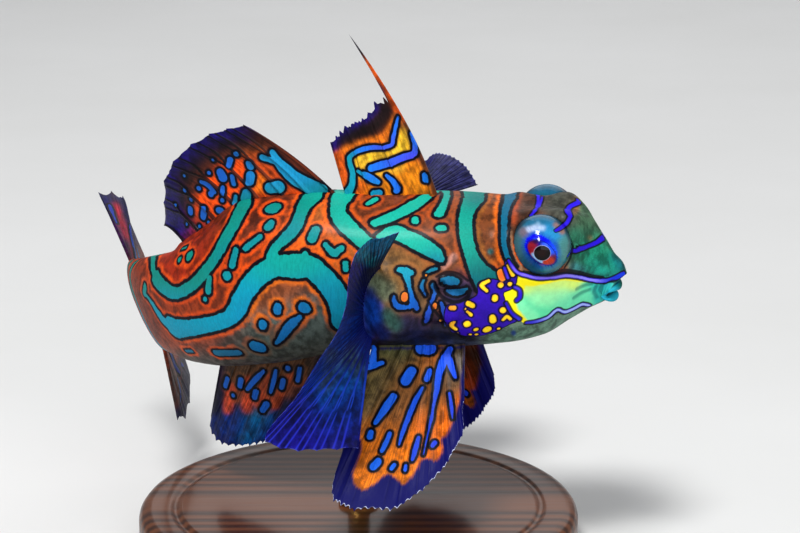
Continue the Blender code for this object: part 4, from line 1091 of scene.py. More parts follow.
SECOND_DORSAL_MARKS = (
    ((4.8, 4.6), (246, 200), (247, 193)), ((4.2, 4.4), (250, 181.5), (250.6, 175)),
    ((3.4, 3.2), (250.6, 167), (249, 163.5)),
    ((7.5, 7.0, 6.4, 5.6, 3.8), (321, 190), (306, 184), (293, 176.5), (284, 168), (276, 160)),
    ((3.6, 2.8), (277, 161), (262, 157.5)), ((3.4, 2.4), (281, 164), (272, 152)),
    ((5.6, 6.0), (270.5, 187.5), (279, 186.5)), (3.0, (236, 154)),
    ((3.0, 2.6), (230, 160), (229, 165)), ((3.6, 4.2), (220, 172), (223, 178)), (2.1, (209, 173)),
    ((1.9, 2.2, 2.0), (201, 182), (208, 185), (214.5, 192)), (2.6, (198.5, 188.6)),
    (3.2, (211, 194)), ((1.9, 2.0), (223, 187), (223, 194)), (2.3, (222.6, 200)), (2.3, (185, 190)),
    (2.4, (191, 199.5)), ((2.3, 2.4), (190, 208), (190.5, 213)),
    ((2.7, 2.9), (204.5, 208), (203.5, 217)), ((3.2, 3.2), (219, 210), (221.5, 210.5)),
    (1.9, (213, 160)), (1.9, (184, 176)), ((2.0, 2.2), (232, 176), (234, 184)), (2.0, (176, 205)),
    ((1.8, 2.0), (236, 196), (235, 203)), (1.8, (200, 226)), (1.8, (187, 224)), (1.7, (209, 222)),
)
SECOND_DORSAL_DEEP = (
    ((255, 92, 16), 8, 12, (226, 176), (214, 192), (204, 208), (240, 172)),
    ((84, 44, 32), 7, 6, (190, 196), (196, 176), (212, 162), (232, 150)),
    ((250, 130, 24), 8, 6, (261, 182)),
    ((196, 78, 26), 4, 10, (256, 160), (287, 172)),
    ((92, 44, 32), 14, 5, (246, 129), (285, 156), (335, 188)),
    ((150, 84, 36), 3, 9, (240, 150), (262, 152)),
    ((20, 14, 22), 18, 9, (240, 141), (222, 144), (206, 153), (192, 166), (182, 180), (181, 196),
     (186, 216)),
    ((22, 16, 116), 40, 10, (243, 125), (222, 129), (205, 135), (188, 147), (173, 161), (162, 173),
     (166, 190), (170, 212), (176, 228)),
    ((150, 30, 46), 5, 8, (205, 228), (185, 238), (175, 244)),
)
SECOND_DORSAL_RAYS = (
    ((6, 4, 8), 30, 28, (232, 138), (206, 146), (184, 172), (180, 214), (196, 232)),
    ((110, 46, 22), 4, 24, (270, 160), (300, 182)),
)
SECOND_DORSAL_TONES = (
    ((14, 134, 140), 5, 9, (247, 198), (320, 190)),
    ((26, 150, 196), 5, 22, (300, 178), (275, 187), (268, 160)),
    ((30, 118, 190), 5, 10, (250, 180), (248, 163)),
    ((26, 96, 190), 5, 18, (225, 165), (205, 190), (190, 205)),
)
ANAL_MARKS = (
    ((2.6, 2.6), (241.5, 379), (240.5, 386)), (2.3, (234, 395)),
    ((2.0, 2.9, 2.2), (264, 371), (256, 379), (248, 388.5)), ((2.8, 2.8), (256.5, 391), (255, 397)),
    (3.0, (288, 368)), ((2.7, 2.7), (283.5, 380), (282, 387)),
    ((1.6, 2.4, 1.6), (276, 370), (274, 381), (271, 392)), ((3.6, 3.0), (267, 404), (263, 410)),
    ((2.2, 2.2), (300, 368), (298, 380)), ((2.2, 2.2), (228, 378), (226, 386)),
)
ANAL_DEEP = (
    ((110, 78, 48), 4, 12, (235, 368), (265, 370), (300, 364)),
    ((236, 92, 50), 8, 3.4, (232, 388), (229, 400), (228, 409)),
    ((236, 92, 50), 8, 3.6, (249, 380), (247, 396), (249, 409)),
    ((222, 90, 46), 6, 3.2, (270, 376), (262, 390), (259, 404)),
    ((206, 88, 44), 5, 3.2, (291, 374), (280, 392), (275, 404)),
    ((150, 80, 50), 4, 7, (240, 392), (256, 386), (288, 386)),
    ((14, 58, 148), 8, 12, (216, 425), (235, 432), (262, 428)),
    ((2, 122, 166), 8, 9, (258, 420), (248, 438)),
    ((24, 34, 120), 8, 5, (212, 434), (232, 446), (258, 442)),
    ((18, 16, 60), 8, 6, (219, 364), (217, 395), (213, 430)),
)
PELVIC_MARKS = (
    ((4.8, 5.2), (411.5, 371.5), (405.5, 381)), ((2.6, 3.0), (429.5, 371.5), (427, 379.5)),
    ((3.6, 4.0, 3.0, 2.2), (393.5, 397), (387, 406.5), (381, 415.5), (375.5, 423.5)),
    ((1.6, 2.4, 2.7, 2.3, 2.2, 1.7, 0.8), (422.5, 388.5), (416.5, 399), (411, 411), (407.5, 420),
     (404, 429), (401, 438), (399, 445.5)),
    ((3.2, 4.2, 3.6, 2.8, 1.9, 1.2, 1.6, 0.8, 0.6), (450, 350), (444, 361), (439, 374), (437, 388),
     (434.5, 400), (432.5, 412), (431.5, 419), (428, 434), (423.5, 455)),
    ((3.6, 3.2, 1.6), (449, 360), (452, 369), (455.5, 378)),
    ((1.5, 1.7, 0.9), (449.5, 394), (451.5, 407), (452.5, 419)),
    ((3.0, 3.2), (370.8, 433), (370, 437)), ((2.0, 2.5, 2.2), (390, 434), (386, 443), (382, 451.5)),
    ((1.6, 2.6, 1.8), (419, 438), (416, 449), (413, 460)),
    ((2.4, 2.3), (434.5, 443.5), (432.5, 446)), ((3.8, 4.0), (378, 462), (373.5, 467)),
    ((2.0, 2.2), (394.5, 465), (391.5, 469)), ((1.7, 1.9), (406, 466), (405.5, 470.5)),
    ((3.6, 4.4, 3.4), (372.5, 346), (372, 355), (373, 364)),
    ((2.0, 2.8, 2.0), (382.5, 363), (372, 366.5), (361, 370)), ((5.4, 6.2), (421, 343), (430, 348)),
)
PELVIC_TONES = (
    ((28, 116, 240), 4, 30, (408, 376), (385, 408), (376, 464)),
    ((36, 84, 228), 4, 26, (444, 362), (436, 385), (404, 429)),
    ((30, 50, 190), 4, 20, (451, 405), (416, 449), (434, 445)),
)
PELVIC_DEEP = (
    ((112, 104, 66), 5, 20, (390, 350), (372, 380), (365, 400)),
    ((156, 104, 56), 4, 20, (408, 395), (395, 415), (440, 395)),
    ((252, 138, 20), 5, 16, (380, 435), (400, 445), (392, 480), (365, 480)),
    ((250, 124, 16), 5, 14, (422, 425), (428, 450), (444, 440), (456, 410)),
    ((84, 84, 70), 5, 10, (455, 350), (460, 372), (450, 385)),
    ((56, 96, 60), 4, 12, (385, 346), (400, 344)),
)
PELVIC_LEFT_DEEP = (
    ((58, 22, 12), 6, 30, (440, 350), (455, 380), (450, 410)),
    ((176, 62, 14), 4, 10, (430, 380), (440, 430)),
    ((150, 52, 14), 3, 12, (400, 400), (400, 450)),
)
PELVIC_FIELD = (
    (346, 330), (470, 330), (466, 356), (462, 380), (461, 398), (457.5, 410), (452, 426),
    (446.5, 437), (442, 440), (443.5, 451), (436, 462), (423.5, 460.5), (416, 474), (404.5, 485.5),
    (396, 480), (388, 475.5), (376, 484), (364, 491.5), (354, 486), (352, 474), (357, 462),
    (361, 448), (357, 430), (352, 400), (350, 370),
)
PECTORAL_DEEP = (
    ((14, 116, 156), 12, 8, (356, 248), (370, 250), (384, 244)),
    ((22, 150, 160), 8, 4, (362, 250), (372, 260)),
    ((34, 30, 130), 5, 9, (348, 270), (350, 292), (346, 300)),
    ((8, 58, 150), 4, 26, (345, 330), (330, 380), (340, 420)),
    ((14, 104, 196), 4, 9, (338, 372), (352, 378), (328, 395)),
    ((70, 88, 66), 5, 6, (333, 355), (326, 386), (350, 350), (356, 372)),
    ((34, 24, 160), 5, 24, (285, 440), (320, 446), (352, 446)),
    ((20, 28, 120), 4, 14, (300, 410), (275, 438)),
    ((6, 8, 34), 8, 6, (352, 308), (362, 288), (374, 274), (382, 268)),
)
# The far pectoral fin as a shaded copy of the near fin: its bright teal zones left out and a dull
# grey-blue laid over its upper front, as painted shade
PECTORAL_LEFT_SHADED = PECTORAL_DEEP[2:] + (
    ((58, 58, 112), 20, 14, (350, 262), (366, 248), (386, 240)),
)
PECTORAL_RAYS = (
    ((4, 6, 22), 14, 20, (352, 262), (372, 246), (392, 238)),
    ((8, 12, 60), 4, 24, (348, 320), (340, 350)),
    ((52, 62, 220), 4, 30, (310, 440), (345, 440), (290, 430)),
    ((30, 84, 214), 4, 22, (335, 400), (350, 400)),
)
NO_MARKS = ((0.1, (349, 150)),)  # a speck off the pectoral fin, which has no marks
CAUDAL_MARKS = (
    ((1.0, 1.4, 1.0), (109, 206), (112, 214), (116, 224)),
    ((1.0, 1.3, 1.0), (176, 378), (179, 390), (180, 402)),
)
CAUDAL_TONES = (
    ((30, 50, 150), 6, 16, (108, 206), (118, 228)), ((30, 50, 150), 6, 16, (178, 372), (182, 404)),
)
# Marks that the body hides from the camera: half widths in mm, then places across and along the fin
CAUDAL_HIDDEN = (
    ((0.22, 0.30, 0.26, 0.16), (0.22, 0.12), (0.26, 0.32), (0.23, 0.52), (0.25, 0.68)),
    ((0.20, 0.30, 0.30, 0.18), (0.36, 0.08), (0.34, 0.30), (0.39, 0.50), (0.37, 0.66)),
    ((0.20, 0.28, 0.24), (0.50, 0.16), (0.47, 0.38), (0.50, 0.56)),
    ((0.20, 0.30, 0.30, 0.18), (0.63, 0.08), (0.66, 0.30), (0.61, 0.50), (0.64, 0.66)),
    ((0.22, 0.30, 0.26, 0.16), (0.78, 0.12), (0.74, 0.32), (0.77, 0.52), (0.75, 0.68)),
    ((0.26, 0.24), (0.43, 0.70), (0.44, 0.76)), ((0.26, 0.24), (0.57, 0.70), (0.56, 0.76)),
    ((0.22, 0.22), (0.31, 0.74), (0.32, 0.80)), ((0.22, 0.22), (0.69, 0.74), (0.68, 0.80)),
    ((0.2, 0.2), (0.50, 0.72), (0.50, 0.78)), ((0.18, 0.18), (0.29, 0.44), (0.30, 0.48)),
    ((0.18, 0.18), (0.71, 0.44), (0.70, 0.48)), ((0.18, 0.18), (0.43, 0.28), (0.43, 0.33)),
)
CAUDAL_DEEP = (
    ((190, 74, 30), 6, 22, (128, 276), (136, 306), (150, 340)),
    ((14, 14, 84), 20, 6, (98, 192), (112, 226), (124, 256)),
    ((14, 14, 84), 20, 6, (125, 197), (129, 213), (138, 240)),
    ((214, 40, 52), 6, 4.5, (115, 210), (119, 222), (125, 236)),
    ((14, 16, 74), 12, 6, (186, 362), (192, 380), (190, 402), (180, 420)),
    ((90, 42, 30), 6, 7, (166, 374), (172, 398)),
    ((120, 52, 30), 4, 12, (140, 250), (150, 262)),
)


BURIED_ROWS = 4  # of each fin's sheet, below its free part
MARGIN = 0.93  # the share of a ray's length at which the fin starts to thin out
FORK_STARTS = (0.35, 0.55)
FORK_SPREAD = (0.35, 0.8)


def fin_middle(table, side, across, way, length, sunk, on_end=False):
    """The middle sheet of a fin, as a grid of points."""
    values = through(table, across)
    point, tailward, up, right = spine_at(values[:, 0])
    if on_end:
        _, top, bottom = np.moveaxis(through(SECTIONS, values[:, 0]), -1, 0)
        reach = np.where(values[:, 1] > 0, top, bottom)
        root, outward = point + up * (values[:, 1] * reach)[:, None], tailward
    else:
        turned = np.radians(values[:, 1]) * side
        root, outward = skin(values[:, 0], turned), skin_normal(values[:, 0], turned)
    axes = tailward, up, right * side

    def leaning(first):
        """A row of vectors from three of the table's columns."""
        return sum(axis * values[:, first + k, None] for k, axis in enumerate(axes))[:, None]

    reach = (np.maximum(way, 0)[None, :] * length[:, None])[..., None]
    middle = (root + outward * GAP)[:, None] + leaning(2) * reach
    if values.shape[1] > 5:
        middle = middle + leaning(5) * (4 * reach * (1 - reach))
    depth = np.maximum(-way, 0)[None, :, None] * sunk
    return middle - outward[:, None] * depth


def build_fin(
    name, table, rays, columns, rows, side=1, twin_table=None, forked=True, notch=(0.03, 0.03),
    teeth=1, ragged=0.0, membrane=0.09, ray=(0.2, 0.1), lead=None, billow=0.1, sunk=0.9,
    on_end=False, seed=1,
):
    """A fin's mesh, with its rays raised in the membrane, and the middle sheet for its marks.

    The rays stand at shares across the fin, with a number of columns of points between two of
    them. Pairs give a value at the first ray and the last (notch) or at a root and a tip (ray,
    lead). Lengths are in millimetres, notches and ragged edges are shares of the fin's length.
    """
    offset = np.append(np.tile(np.arange(columns) / columns, len(rays) - 1), 0.0)
    number = np.append(np.repeat(np.arange(len(rays) - 1), columns), len(rays) - 1)
    spans = np.append(np.diff(rays), 0.0)
    across = np.asarray(rays)[number] + spans[number] * offset
    nearest = np.where(offset > 0.5, number + 1, number)
    between = np.minimum(offset, 1 - offset)
    chance = np.random.default_rng(seed)
    knots = chance.uniform(0, 1, len(across) // 3 + 4)
    rough = np.interp(np.arange(len(across)) / 3, np.arange(len(knots)), knots)
    depth = notch[0] + (notch[1] - notch[0]) * across
    tips = 1 - depth * (1 - (1 - 2 * ((offset * teeth) % 1)) ** 2)
    tips -= ragged * rough * np.minimum(between * 6, 1)
    way = np.concatenate([np.linspace(-1, 0, BURIED_ROWS + 1)[:-1], np.linspace(0, 1, rows)])
    middle = fin_middle(table, side, across, way, tips, sunk, on_end)
    along = np.maximum(way, 0)[None, :] * np.ones(len(across))[:, None]
    step_across = np.gradient(middle, across, axis=0)
    normal = unit(np.cross(step_across, np.gradient(middle, axis=1)))
    stretch = np.linalg.norm(step_across, axis=-1)
    away = np.abs(across - np.asarray(rays)[nearest])[:, None] * stretch
    gap = np.interp(np.arange(len(rays)), np.arange(len(rays) - 1) + 0.5, np.diff(rays))
    gap = gap[nearest][:, None] * stretch
    radius = ray[0] + (ray[1] - ray[0]) * along
    if lead:
        leading = lead[0] + (lead[1] - lead[0]) * along**0.8
        radius = np.where((nearest == 0)[:, None], leading, radius)
    at_end = ((nearest == 0) | (nearest == len(rays) - 1))[:, None]
    profile = np.sqrt(
        np.maximum(1 - (np.where(at_end, away - radius, away) / radius) ** 2, 0)
    )
    if forked:
        split = gap * 0.2 * ease(along, *FORK_SPREAD)
        branch = np.sqrt(np.maximum(1 - ((away - split) / (radius * 0.75)) ** 2, 0))
        fork = ease(along, *FORK_STARTS) * ~at_end
        profile = profile * (1 - fork) + branch * 0.8 * fork
    sheet = membrane * (1 - 0.45 * along)
    half = sheet + np.maximum(radius * profile - sheet * 0.3, 0) * (profile > 0)
    half *= 1 - 0.75 * ease(along, MARGIN, 1.0)
    swell = billow * np.sin(math.pi * offset)[:, None] * ease(along, 0.05, 0.5)
    centre = middle + normal * swell[..., None]
    count, deep_rows = along.shape
    total = count * deep_rows
    points = np.concatenate(
        [(centre + normal * (half * sign)[..., None]).reshape(-1, 3) for sign in (1, -1)]
    )
    index = np.arange(total).reshape(count, deep_rows)
    rim = np.concatenate([index[:, 0], index[-1, 1:], index[-2::-1, -1], index[0, -2:0:-1]])
    ahead = np.roll(rim, -1)
    faces = [
        grid_faces(count, deep_rows),
        grid_faces(count, deep_rows, start=total)[:, ::-1],
        np.stack([rim, rim + total, ahead + total, ahead], axis=-1),
    ]
    piece = mesh_piece(name, points, facing_out(points, faces))
    drawn = middle
    if twin_table:
        drawn = fin_middle(twin_table, 1, across, way, tips, sunk, on_end)
    length = np.linalg.norm(drawn[:, -1] - drawn[:, BURIED_ROWS], axis=-1)[:, None]
    turn = np.broadcast_to((number + offset)[:, None], along.shape)
    stored = {"ray": profile, "along": along, "number": turn, "edge": length * (1 - along)}
    for key, values in stored.items():
        keep(piece, key, np.tile(values.ravel(), 2))
    u, v = (part.ravel() for part in np.meshgrid(across, (way + 1) / 2, indexing="ij"))
    map_flat(piece, np.concatenate([np.stack([u * 0.49 + k, v], 1) for k in (0, 0.51)]))
    return piece, drawn


def on_sheet(drawn, marks):
    """The lines and half widths of marks that are given by places across and along a fin."""
    last = drawn.shape[0] - 1, drawn.shape[1] - 1 - BURIED_ROWS
    laid = []
    for widths, *places in marks:
        line = with_widths(widths, places)
        across, along = np.rint(line[:, :2] * last).astype(int).T
        laid.append((drawn[across, BURIED_ROWS + along], line[:, 2]))
    return laid


def paint_fin(piece, drawn, marks, zones, plain, tones=(), field=None, rays=None, hidden=()):
    """Stores the marks and colours of a fin, laid on the given sheet."""
    surface = Surface(drawn[:, BURIED_ROWS:])
    points = drawn.reshape(-1, 3)
    seen = to_picture(points)
    laid = [surface.lay(mark) for mark in marks] + on_sheet(drawn, hidden)
    keep(piece, "band", np.tile(edge_distance(points, laid), 2))
    parts = {"deep": zones, "near": zones, "tone": tones}
    if rays:
        parts["ray_tone"] = rays
    for name, own_zones in parts.items():
        keep(piece, name, np.tile(tinted(seen, plain[name], own_zones), (2, 1)))
    if field:
        keep(piece, "field", np.tile(field_of(surface, field, points, seen, True, 4.0), 2))


class Paint:
    """A material and short ways to add to its nodes."""

    def __init__(self, name):
        self.material = bpy.data.materials.new(name)
        self.material.use_nodes = True
        self.tree = self.material.node_tree
        self.shader = self.tree.nodes["Principled BSDF"]
        self.places = None

    def node(self, kind, inputs, **settings):
        """A new node with its settings, and its inputs as values or as links."""
        made = self.tree.nodes.new(kind)
        for key, value in settings.items():
            setattr(made, key, value)
        for key, value in inputs.items():
            self.join(value, made.inputs[key])
        return made

    def join(self, value, socket):
        """Links another socket, or sets a number, a colour or a vector."""
        if isinstance(value, bpy.types.NodeSocket):
            self.tree.links.new(value, socket)
        elif isinstance(value, tuple):
            socket.default_value = (*value, 1.0) if socket.type == "RGBA" else value
        else:
            socket.default_value = value

    def stored(self, name):
        """A number that the mesh stores."""
        return self.node("ShaderNodeAttribute", {}, attribute_name=name).outputs["Fac"]

    def stored_colour(self, name):
        """A colour that the mesh stores."""
        return self.node("ShaderNodeAttribute", {}, attribute_name=name).outputs["Color"]

    def maths(self, kind, one, two=0.0):
        """A sum or other operation on two values."""
        return self.node("ShaderNodeMath", {0: one, 1: two}, operation=kind).outputs[0]

    def add(self, one, two):
        """The sum of two values."""
        return self.maths("ADD", one, two)

    def scaled(self, value, by):
        """A value times another."""
        return self.maths("MULTIPLY", value, by)

    def stray(self, value, amount):
        """A value from 0 to 1, brought to half an amount either side of nothing."""
        return self.scaled(self.maths("SUBTRACT", value, 0.5), amount)

    def step(self, value, low, high, top=1.0):
        """A smooth step from 0 at low to top at high, either way round."""
        first, last = (0.0, top) if low <= high else (top, 0.0)
        ends = {"From Min": min(low, high), "From Max": max(low, high)}
        ends.update({"Value": value, "To Min": first, "To Max": last})
        made = self.node("ShaderNodeMapRange", ends, interpolation_type="SMOOTHSTEP")
        return made.outputs["Result"]

    def mix(self, share, one, two):
        """A mixture of two colours."""
        made = self.node("ShaderNodeMix", {}, data_type="RGBA", blend_type="MIX")
        for key, value in (("Factor", share), ("A", one), ("B", two)):
            self.join(value, made.inputs[key])
        return made.outputs["Result"]

    def cover(self, colour, value, low, high, other, top=1.0):
        """A colour with another laid over it where a value is near or past high."""
        return self.mix(self.step(value, low, high, top), colour, other)

    def at(self, stretch=(1, 1, 1)):
        """Places in millimetres, stretched."""
        if self.places is None:
            self.places = self.node("ShaderNodeTexCoord", {}).outputs["Object"]
        scale = tuple(value / MM for value in stretch)
        return self.node("ShaderNodeMapping", {"Vector": self.places, "Scale": scale}).outputs[0]

    def combined(self, x, y, z=0.0):
        """A vector from three values."""
        return self.node("ShaderNodeCombineXYZ", {"X": x, "Y": y, "Z": z}).outputs["Vector"]

    def noise(self, scale, detail=3.0, rough=0.55, stretch=(1, 1, 1), vector=None):
        """Soft noise from 0 to 1, at places in millimetres or at a vector."""
        inputs = {"Vector": vector or self.at(stretch)}
        inputs.update({"Scale": scale, "Detail": detail, "Roughness": rough})
        return self.node("ShaderNodeTexNoise", inputs).outputs["Fac"]

    def shade(self, colour, low, high, value):
        """The colour made darker or lighter by a value from 0 to 1."""
        ends = {"Value": value, "To Min": low, "To Max": high}
        factor = self.node("ShaderNodeMapRange", ends).outputs["Result"]
        made = self.node("ShaderNodeVectorMath", {0: colour, "Scale": factor}, operation="SCALE")
        return made.outputs["Vector"]

    def bump(self, heights, distance):
        """Bump from a list of heights and strengths, at a distance in millimetres."""
        inputs = {"Distance": distance * MM}
        for height, strength in heights:
            inputs.update({"Strength": strength, "Height": height})
            inputs["Normal"] = self.node("ShaderNodeBump", inputs).outputs["Normal"]
        self.join(inputs["Normal"], self.shader.inputs["Normal"])

    def rough(self, value, low, more, high=0.9):
        """A roughness from low upwards, where a value from 0 to 1 sets how much more."""
        return self.add(self.step(value, 0.2, high, more), low)

    def finish(self, colour, roughness, coat=0.0, coat_rough=0.1, specular=0.12, metallic=0.0):
        """The material, with its colour and the way it shines."""
        for key, value in (
            ("Base Color", colour),
            ("Roughness", roughness),
            ("Specular IOR Level", specular),
            ("Coat Weight", coat),
            ("Coat Roughness", coat_rough),
            ("Metallic", metallic),
        ):
            self.join(value, self.shader.inputs[key])
        return self.material


INK = shown((8, 7, 20))


def banded(paint, distance, line, turn=(0.26, 0.85), ink=0.25, over=None):
    """The ground that changes away from the marks, their dark outlines and the marks themselves."""
    near, deep, tone = (paint.stored_colour(name) for name in ("near", "deep", "tone"))
    wide = paint.add(line, paint.stray(paint.noise(1.1, 4), 1.1))
    dapple = paint.step(paint.noise(0.9, 4, 0.6, (1.2, 1.2, 0.75)), 0.36, 0.64)
    ground = paint.cover(near, wide, *turn, paint.shade(deep, 0.42, 1.04, dapple))
    ground = paint.shade(ground, 0.70, 1.14, paint.noise(3.6, 4, 0.65))
    ground = paint.shade(ground, 0.86, 1.12, paint.noise(13.0, 2))
    ground = paint.shade(ground, 1.0, 1.7, paint.step(paint.noise(8.0, 3, 0.6), 0.60, 0.72))
    if over:
        ground = over(ground)
    ground = paint.cover(ground, line, ink + 0.26, ink - 0.05, INK, 0.6)
    fill = paint.shade(tone, 0.62, 1.24, paint.noise(3.0, 3, 0.6, (2.2, 2.2, 0.35)))
    fill = paint.shade(fill, 0.9, 1.1, paint.noise(9.0, 2))
    ground = paint.cover(ground, line, ink + 0.06, ink - 0.05, INK)
    return paint.cover(ground, distance, 0.035, -0.045, fill)


def skin_material():
    """The skin: ground, bands, violet lines, the cheek and the spotted patch behind it."""
    paint = Paint("mandarinfish_skin")
    wobble = paint.stray(paint.noise(1.5, 5, 0.72), 0.46)

    def field(name, share=1.0):
        """A stored distance with a share of the wobble."""
        return paint.add(paint.stored(name), paint.scaled(wobble, share))

    colour = banded(paint, field("band"), field("line"))
    mint = paint.shade(paint.stored_colour("cheek_tone"), 0.78, 1.16, paint.noise(1.6, 5, 0.7))
    # painted shade: dark teal along the mouth's folds
    mint = paint.cover(mint, paint.stored("fold"), 0.30, 0.0, shown((6, 70, 84)), 0.5)
    mint = paint.cover(mint, field("rim", 0.6), -0.26, 0.08, shown((250, 236, 24)))
    colour = paint.cover(colour, field("cheek", 0.3), 0.03, -0.05, mint)
    patch = field("patch", 0.5)
    purple = paint.mix(paint.noise(0.7, 3), shown((26, 8, 112)), shown((70, 22, 210)))
    purple = paint.shade(purple, 0.8, 1.2, paint.noise(6.0, 3))
    colour = paint.cover(colour, patch, 0.16, 0.04, INK)
    colour = paint.cover(colour, patch, 0.03, -0.06, purple)
    fleck = field("fleck", 0.4)
    colour = paint.cover(colour, fleck, 0.24, 0.10, INK, 0.9)
    gold = paint.shade(paint.stored_colour("fleck_tone"), 0.9, 1.06, paint.noise(5.0, 3))
    gold = paint.cover(gold, fleck, -0.14, -0.02, shown((226, 140, 24)), 0.55)
    colour = paint.cover(colour, fleck, 0.03, -0.04, gold)
    violet = field("violet", 0.3)
    colour = paint.cover(colour, violet, 0.22, 0.10, INK, 0.94)
    lilac = paint.stored_colour("violet_tone")
    lilac = paint.cover(shown((40, 18, 178)), violet, -0.02, -0.12, lilac)
    colour = paint.cover(colour, violet, 0.03, -0.03, lilac)
    # painted shade: the creases darkened near-black
    colour = paint.cover(colour, paint.stored("crease"), 0.12, -0.02, INK, 0.9)
    lip = paint.shade(paint.stored_colour("lip_tone"), 0.7, 1.3, paint.noise(1.6, 4, 0.65))
    colour = paint.cover(colour, paint.stored("lip"), 0.2, 0.8, lip)
    colour = paint.mix(paint.stored("mouth"), colour, shown((64, 8, 14)))
    cells = paint.node("ShaderNodeTexVoronoi", {"Vector": paint.at(), "Scale": 5.5})
    fine = paint.noise(7.0, 5, 0.7)
    heights = [(cells.outputs["Distance"], 0.16), (fine, 0.3), (paint.noise(1.6, 3), 0.3)]
    paint.bump(heights, 0.05)
    return paint.finish(colour, paint.rough(paint.noise(4.0, 4), 0.44, 0.22), 0.05, 0.2)


def fin_material(
    name, rays=False, field=False, fringe=None, ray_share=0.7, solid=0.7, turn=(0.3, 1.0),
    fine=(9, 5),
):
    """A fin's membrane and rays, with its marks. A fringe is a colour and its width."""
    paint = Paint(name)
    band = paint.add(paint.stored("band"), paint.stray(paint.noise(1.7, 2), 0.14))
    number, along = paint.stored("number"), paint.stored("along")
    across, down = paint.scaled(number, float(fine[0])), paint.scaled(along, float(fine[1]))
    grain = paint.combined(across, down)
    streak = paint.noise(1.0, 4.0, 0.5, vector=grain)
    ray = paint.stored("ray")

    def over(ground):
        """The ground with its grain, the margin's colour and the rays."""
        ground = paint.shade(ground, 0.5, 1.35, paint.step(streak, 0.25, 0.75))
        if field:
            away = paint.add(paint.stored("field"), paint.stray(streak, 0.9))
            ground = paint.cover(ground, away, -0.30, 0.12, shown((12, 14, 92)))
        if rays:
            return paint.cover(ground, ray, 0.04, solid, paint.stored_colour("ray_tone"), ray_share)
        return paint.shade(ground, 1.0, 0.62, paint.step(ray, 0.1, 0.8, ray_share))

    colour = banded(paint, band, band, turn, 0.24, over)
    if fringe:
        tone, width = fringe
        edge = paint.add(paint.stored("edge"), paint.scaled(paint.noise(2.0, 2), width * 0.8))
        broken = paint.step(paint.noise(1.6, 2), 0.42, 0.58)
        share = paint.scaled(paint.step(edge, width * 1.5, width * 1.1), broken)
        colour = paint.mix(share, colour, shown(tone))
    paint.bump([(streak, 0.25), (paint.noise(8.0, 4), 0.25)], 0.05)
    return paint.finish(colour, paint.rough(paint.noise(4.0, 4), 0.34, 0.2), 0.05, 0.2)


# The eye, measured in the picture: its rings' middles, half sizes and tilts in degrees
EYE_MIDDLE = (541.3, 244.7)
IRIS = ((541.4, 250.4), (19.2, 13.4), 42)
INNER = ((541.8, 252.3), (16.4, 9.8), 37)
PUPIL = ((542.2, 253.1), (8.0, 7.2), 0)


def tilted(across, down, degrees):
    """Distances in the picture, measured along and across a tilted line."""
    cosine, sine = math.cos(math.radians(degrees)), math.sin(math.radians(degrees))
    return across * cosine + down * sine, down * cosine - across * sine


def ring_round(middle, halves, tilt=0, count=40):
    """Picture points round a tilted oval."""
    turn = np.linspace(0, TURN, count)
    places = tilted(halves[0] * np.cos(turn), halves[1] * np.sin(turn), -tilt)
    return tuple(map(tuple, np.column_stack(places) + middle))


BALL_TONES = (
    ((34, 104, 136), 5, 7, (532, 219), (548, 219)),
    # painted highlight: soft whitish patches on the upper ball, where the lamps' sheen would fall
    ((186, 198, 226), 5, 2.4, (529, 229.5), (536, 227), (543, 228)),
    ((150, 184, 212), 4, 2, (538, 223.6)),
    ((44, 138, 190), 4, 7, (553, 233), (548, 231)),
    ((124, 104, 116), 5, 4, (523.5, 233)),
    ((60, 102, 112), 5, 7, (516, 240), (517, 254)),
    ((84, 146, 142), 4, 6, (566, 243), (565, 256)),
    ((44, 128, 130), 4, 6, (562, 263), (548, 269.5)),
    ((26, 84, 112), 4, 6, (522, 262), (532, 269)),
    ((160, 112, 88), 6, 2.2, (555.5, 225), (562, 231.5)),
    ((20, 74, 176), 2, 2.4, *ring_round(IRIS[0], (20.4, 14.6), 42)),
    ((8, 44, 58), 4, 1.6, *ring_round(EYE_MIDDLE, (28.9, 28.9))),
)
IRIS_TONES = (
    ((8, 10, 214), 5, 5, (524.5, 248), (530, 238.5), (540, 236.5), (549, 240.5)),
    ((30, 84, 234), 5, 4.5, (551.5, 246), (556.5, 254)),
    ((64, 126, 246), 8, 1.6, (535, 240.2), (538, 241)),
    ((2, 50, 112), 6, 3.6, (525, 257), (531, 263), (538, 267.5)),
    ((16, 66, 150), 4, 4, (557, 262), (551, 266)),
    ((130, 76, 170), 6, 1.8, (541, 266)),
)
INNER_TONES = (
    ((136, 26, 34), 12, 3.4, (530.5, 245), (531.5, 251)),
    ((14, 8, 66), 8, 1.5, (527.6, 240.6), (535, 242)),
    ((188, 56, 16), 14, 2.2, (545, 262), (551, 260)),
    ((104, 16, 24), 8, 2.6, (554.5, 257)),
    ((34, 92, 238), 8, 4, (549.5, 245), (554.5, 250)),
    ((130, 186, 232), 14, 1.1, (532.6, 254), (536.4, 258.4), (541.6, 261.8)),
    ((122, 48, 92), 6, 2, (532, 259), (538, 264)),
)
EYE_VIOLET = (
    ((2.0, 1.8, 1.2), (565, 224.5), (560, 228.4), (555.4, 230.8)),
    ((1.7, 1.4, 1.0), (574, 250.8), (570.5, 252.4), (567.5, 256.5)),
)


RINGS = {"iris": IRIS, "inner": INNER, "pupil": PUPIL}
FAR_BALL = (18, 92, 98)  # the colour of the half of the ball that faces away
CORNEA = (0.2, 0.42)  # how far the clear front stands out, and its half angle
EYE_ROWS, EYE_COLUMNS = 130, 180
FAR_AWAY = 9.0  # stored for rings on the half of the ball that faces away


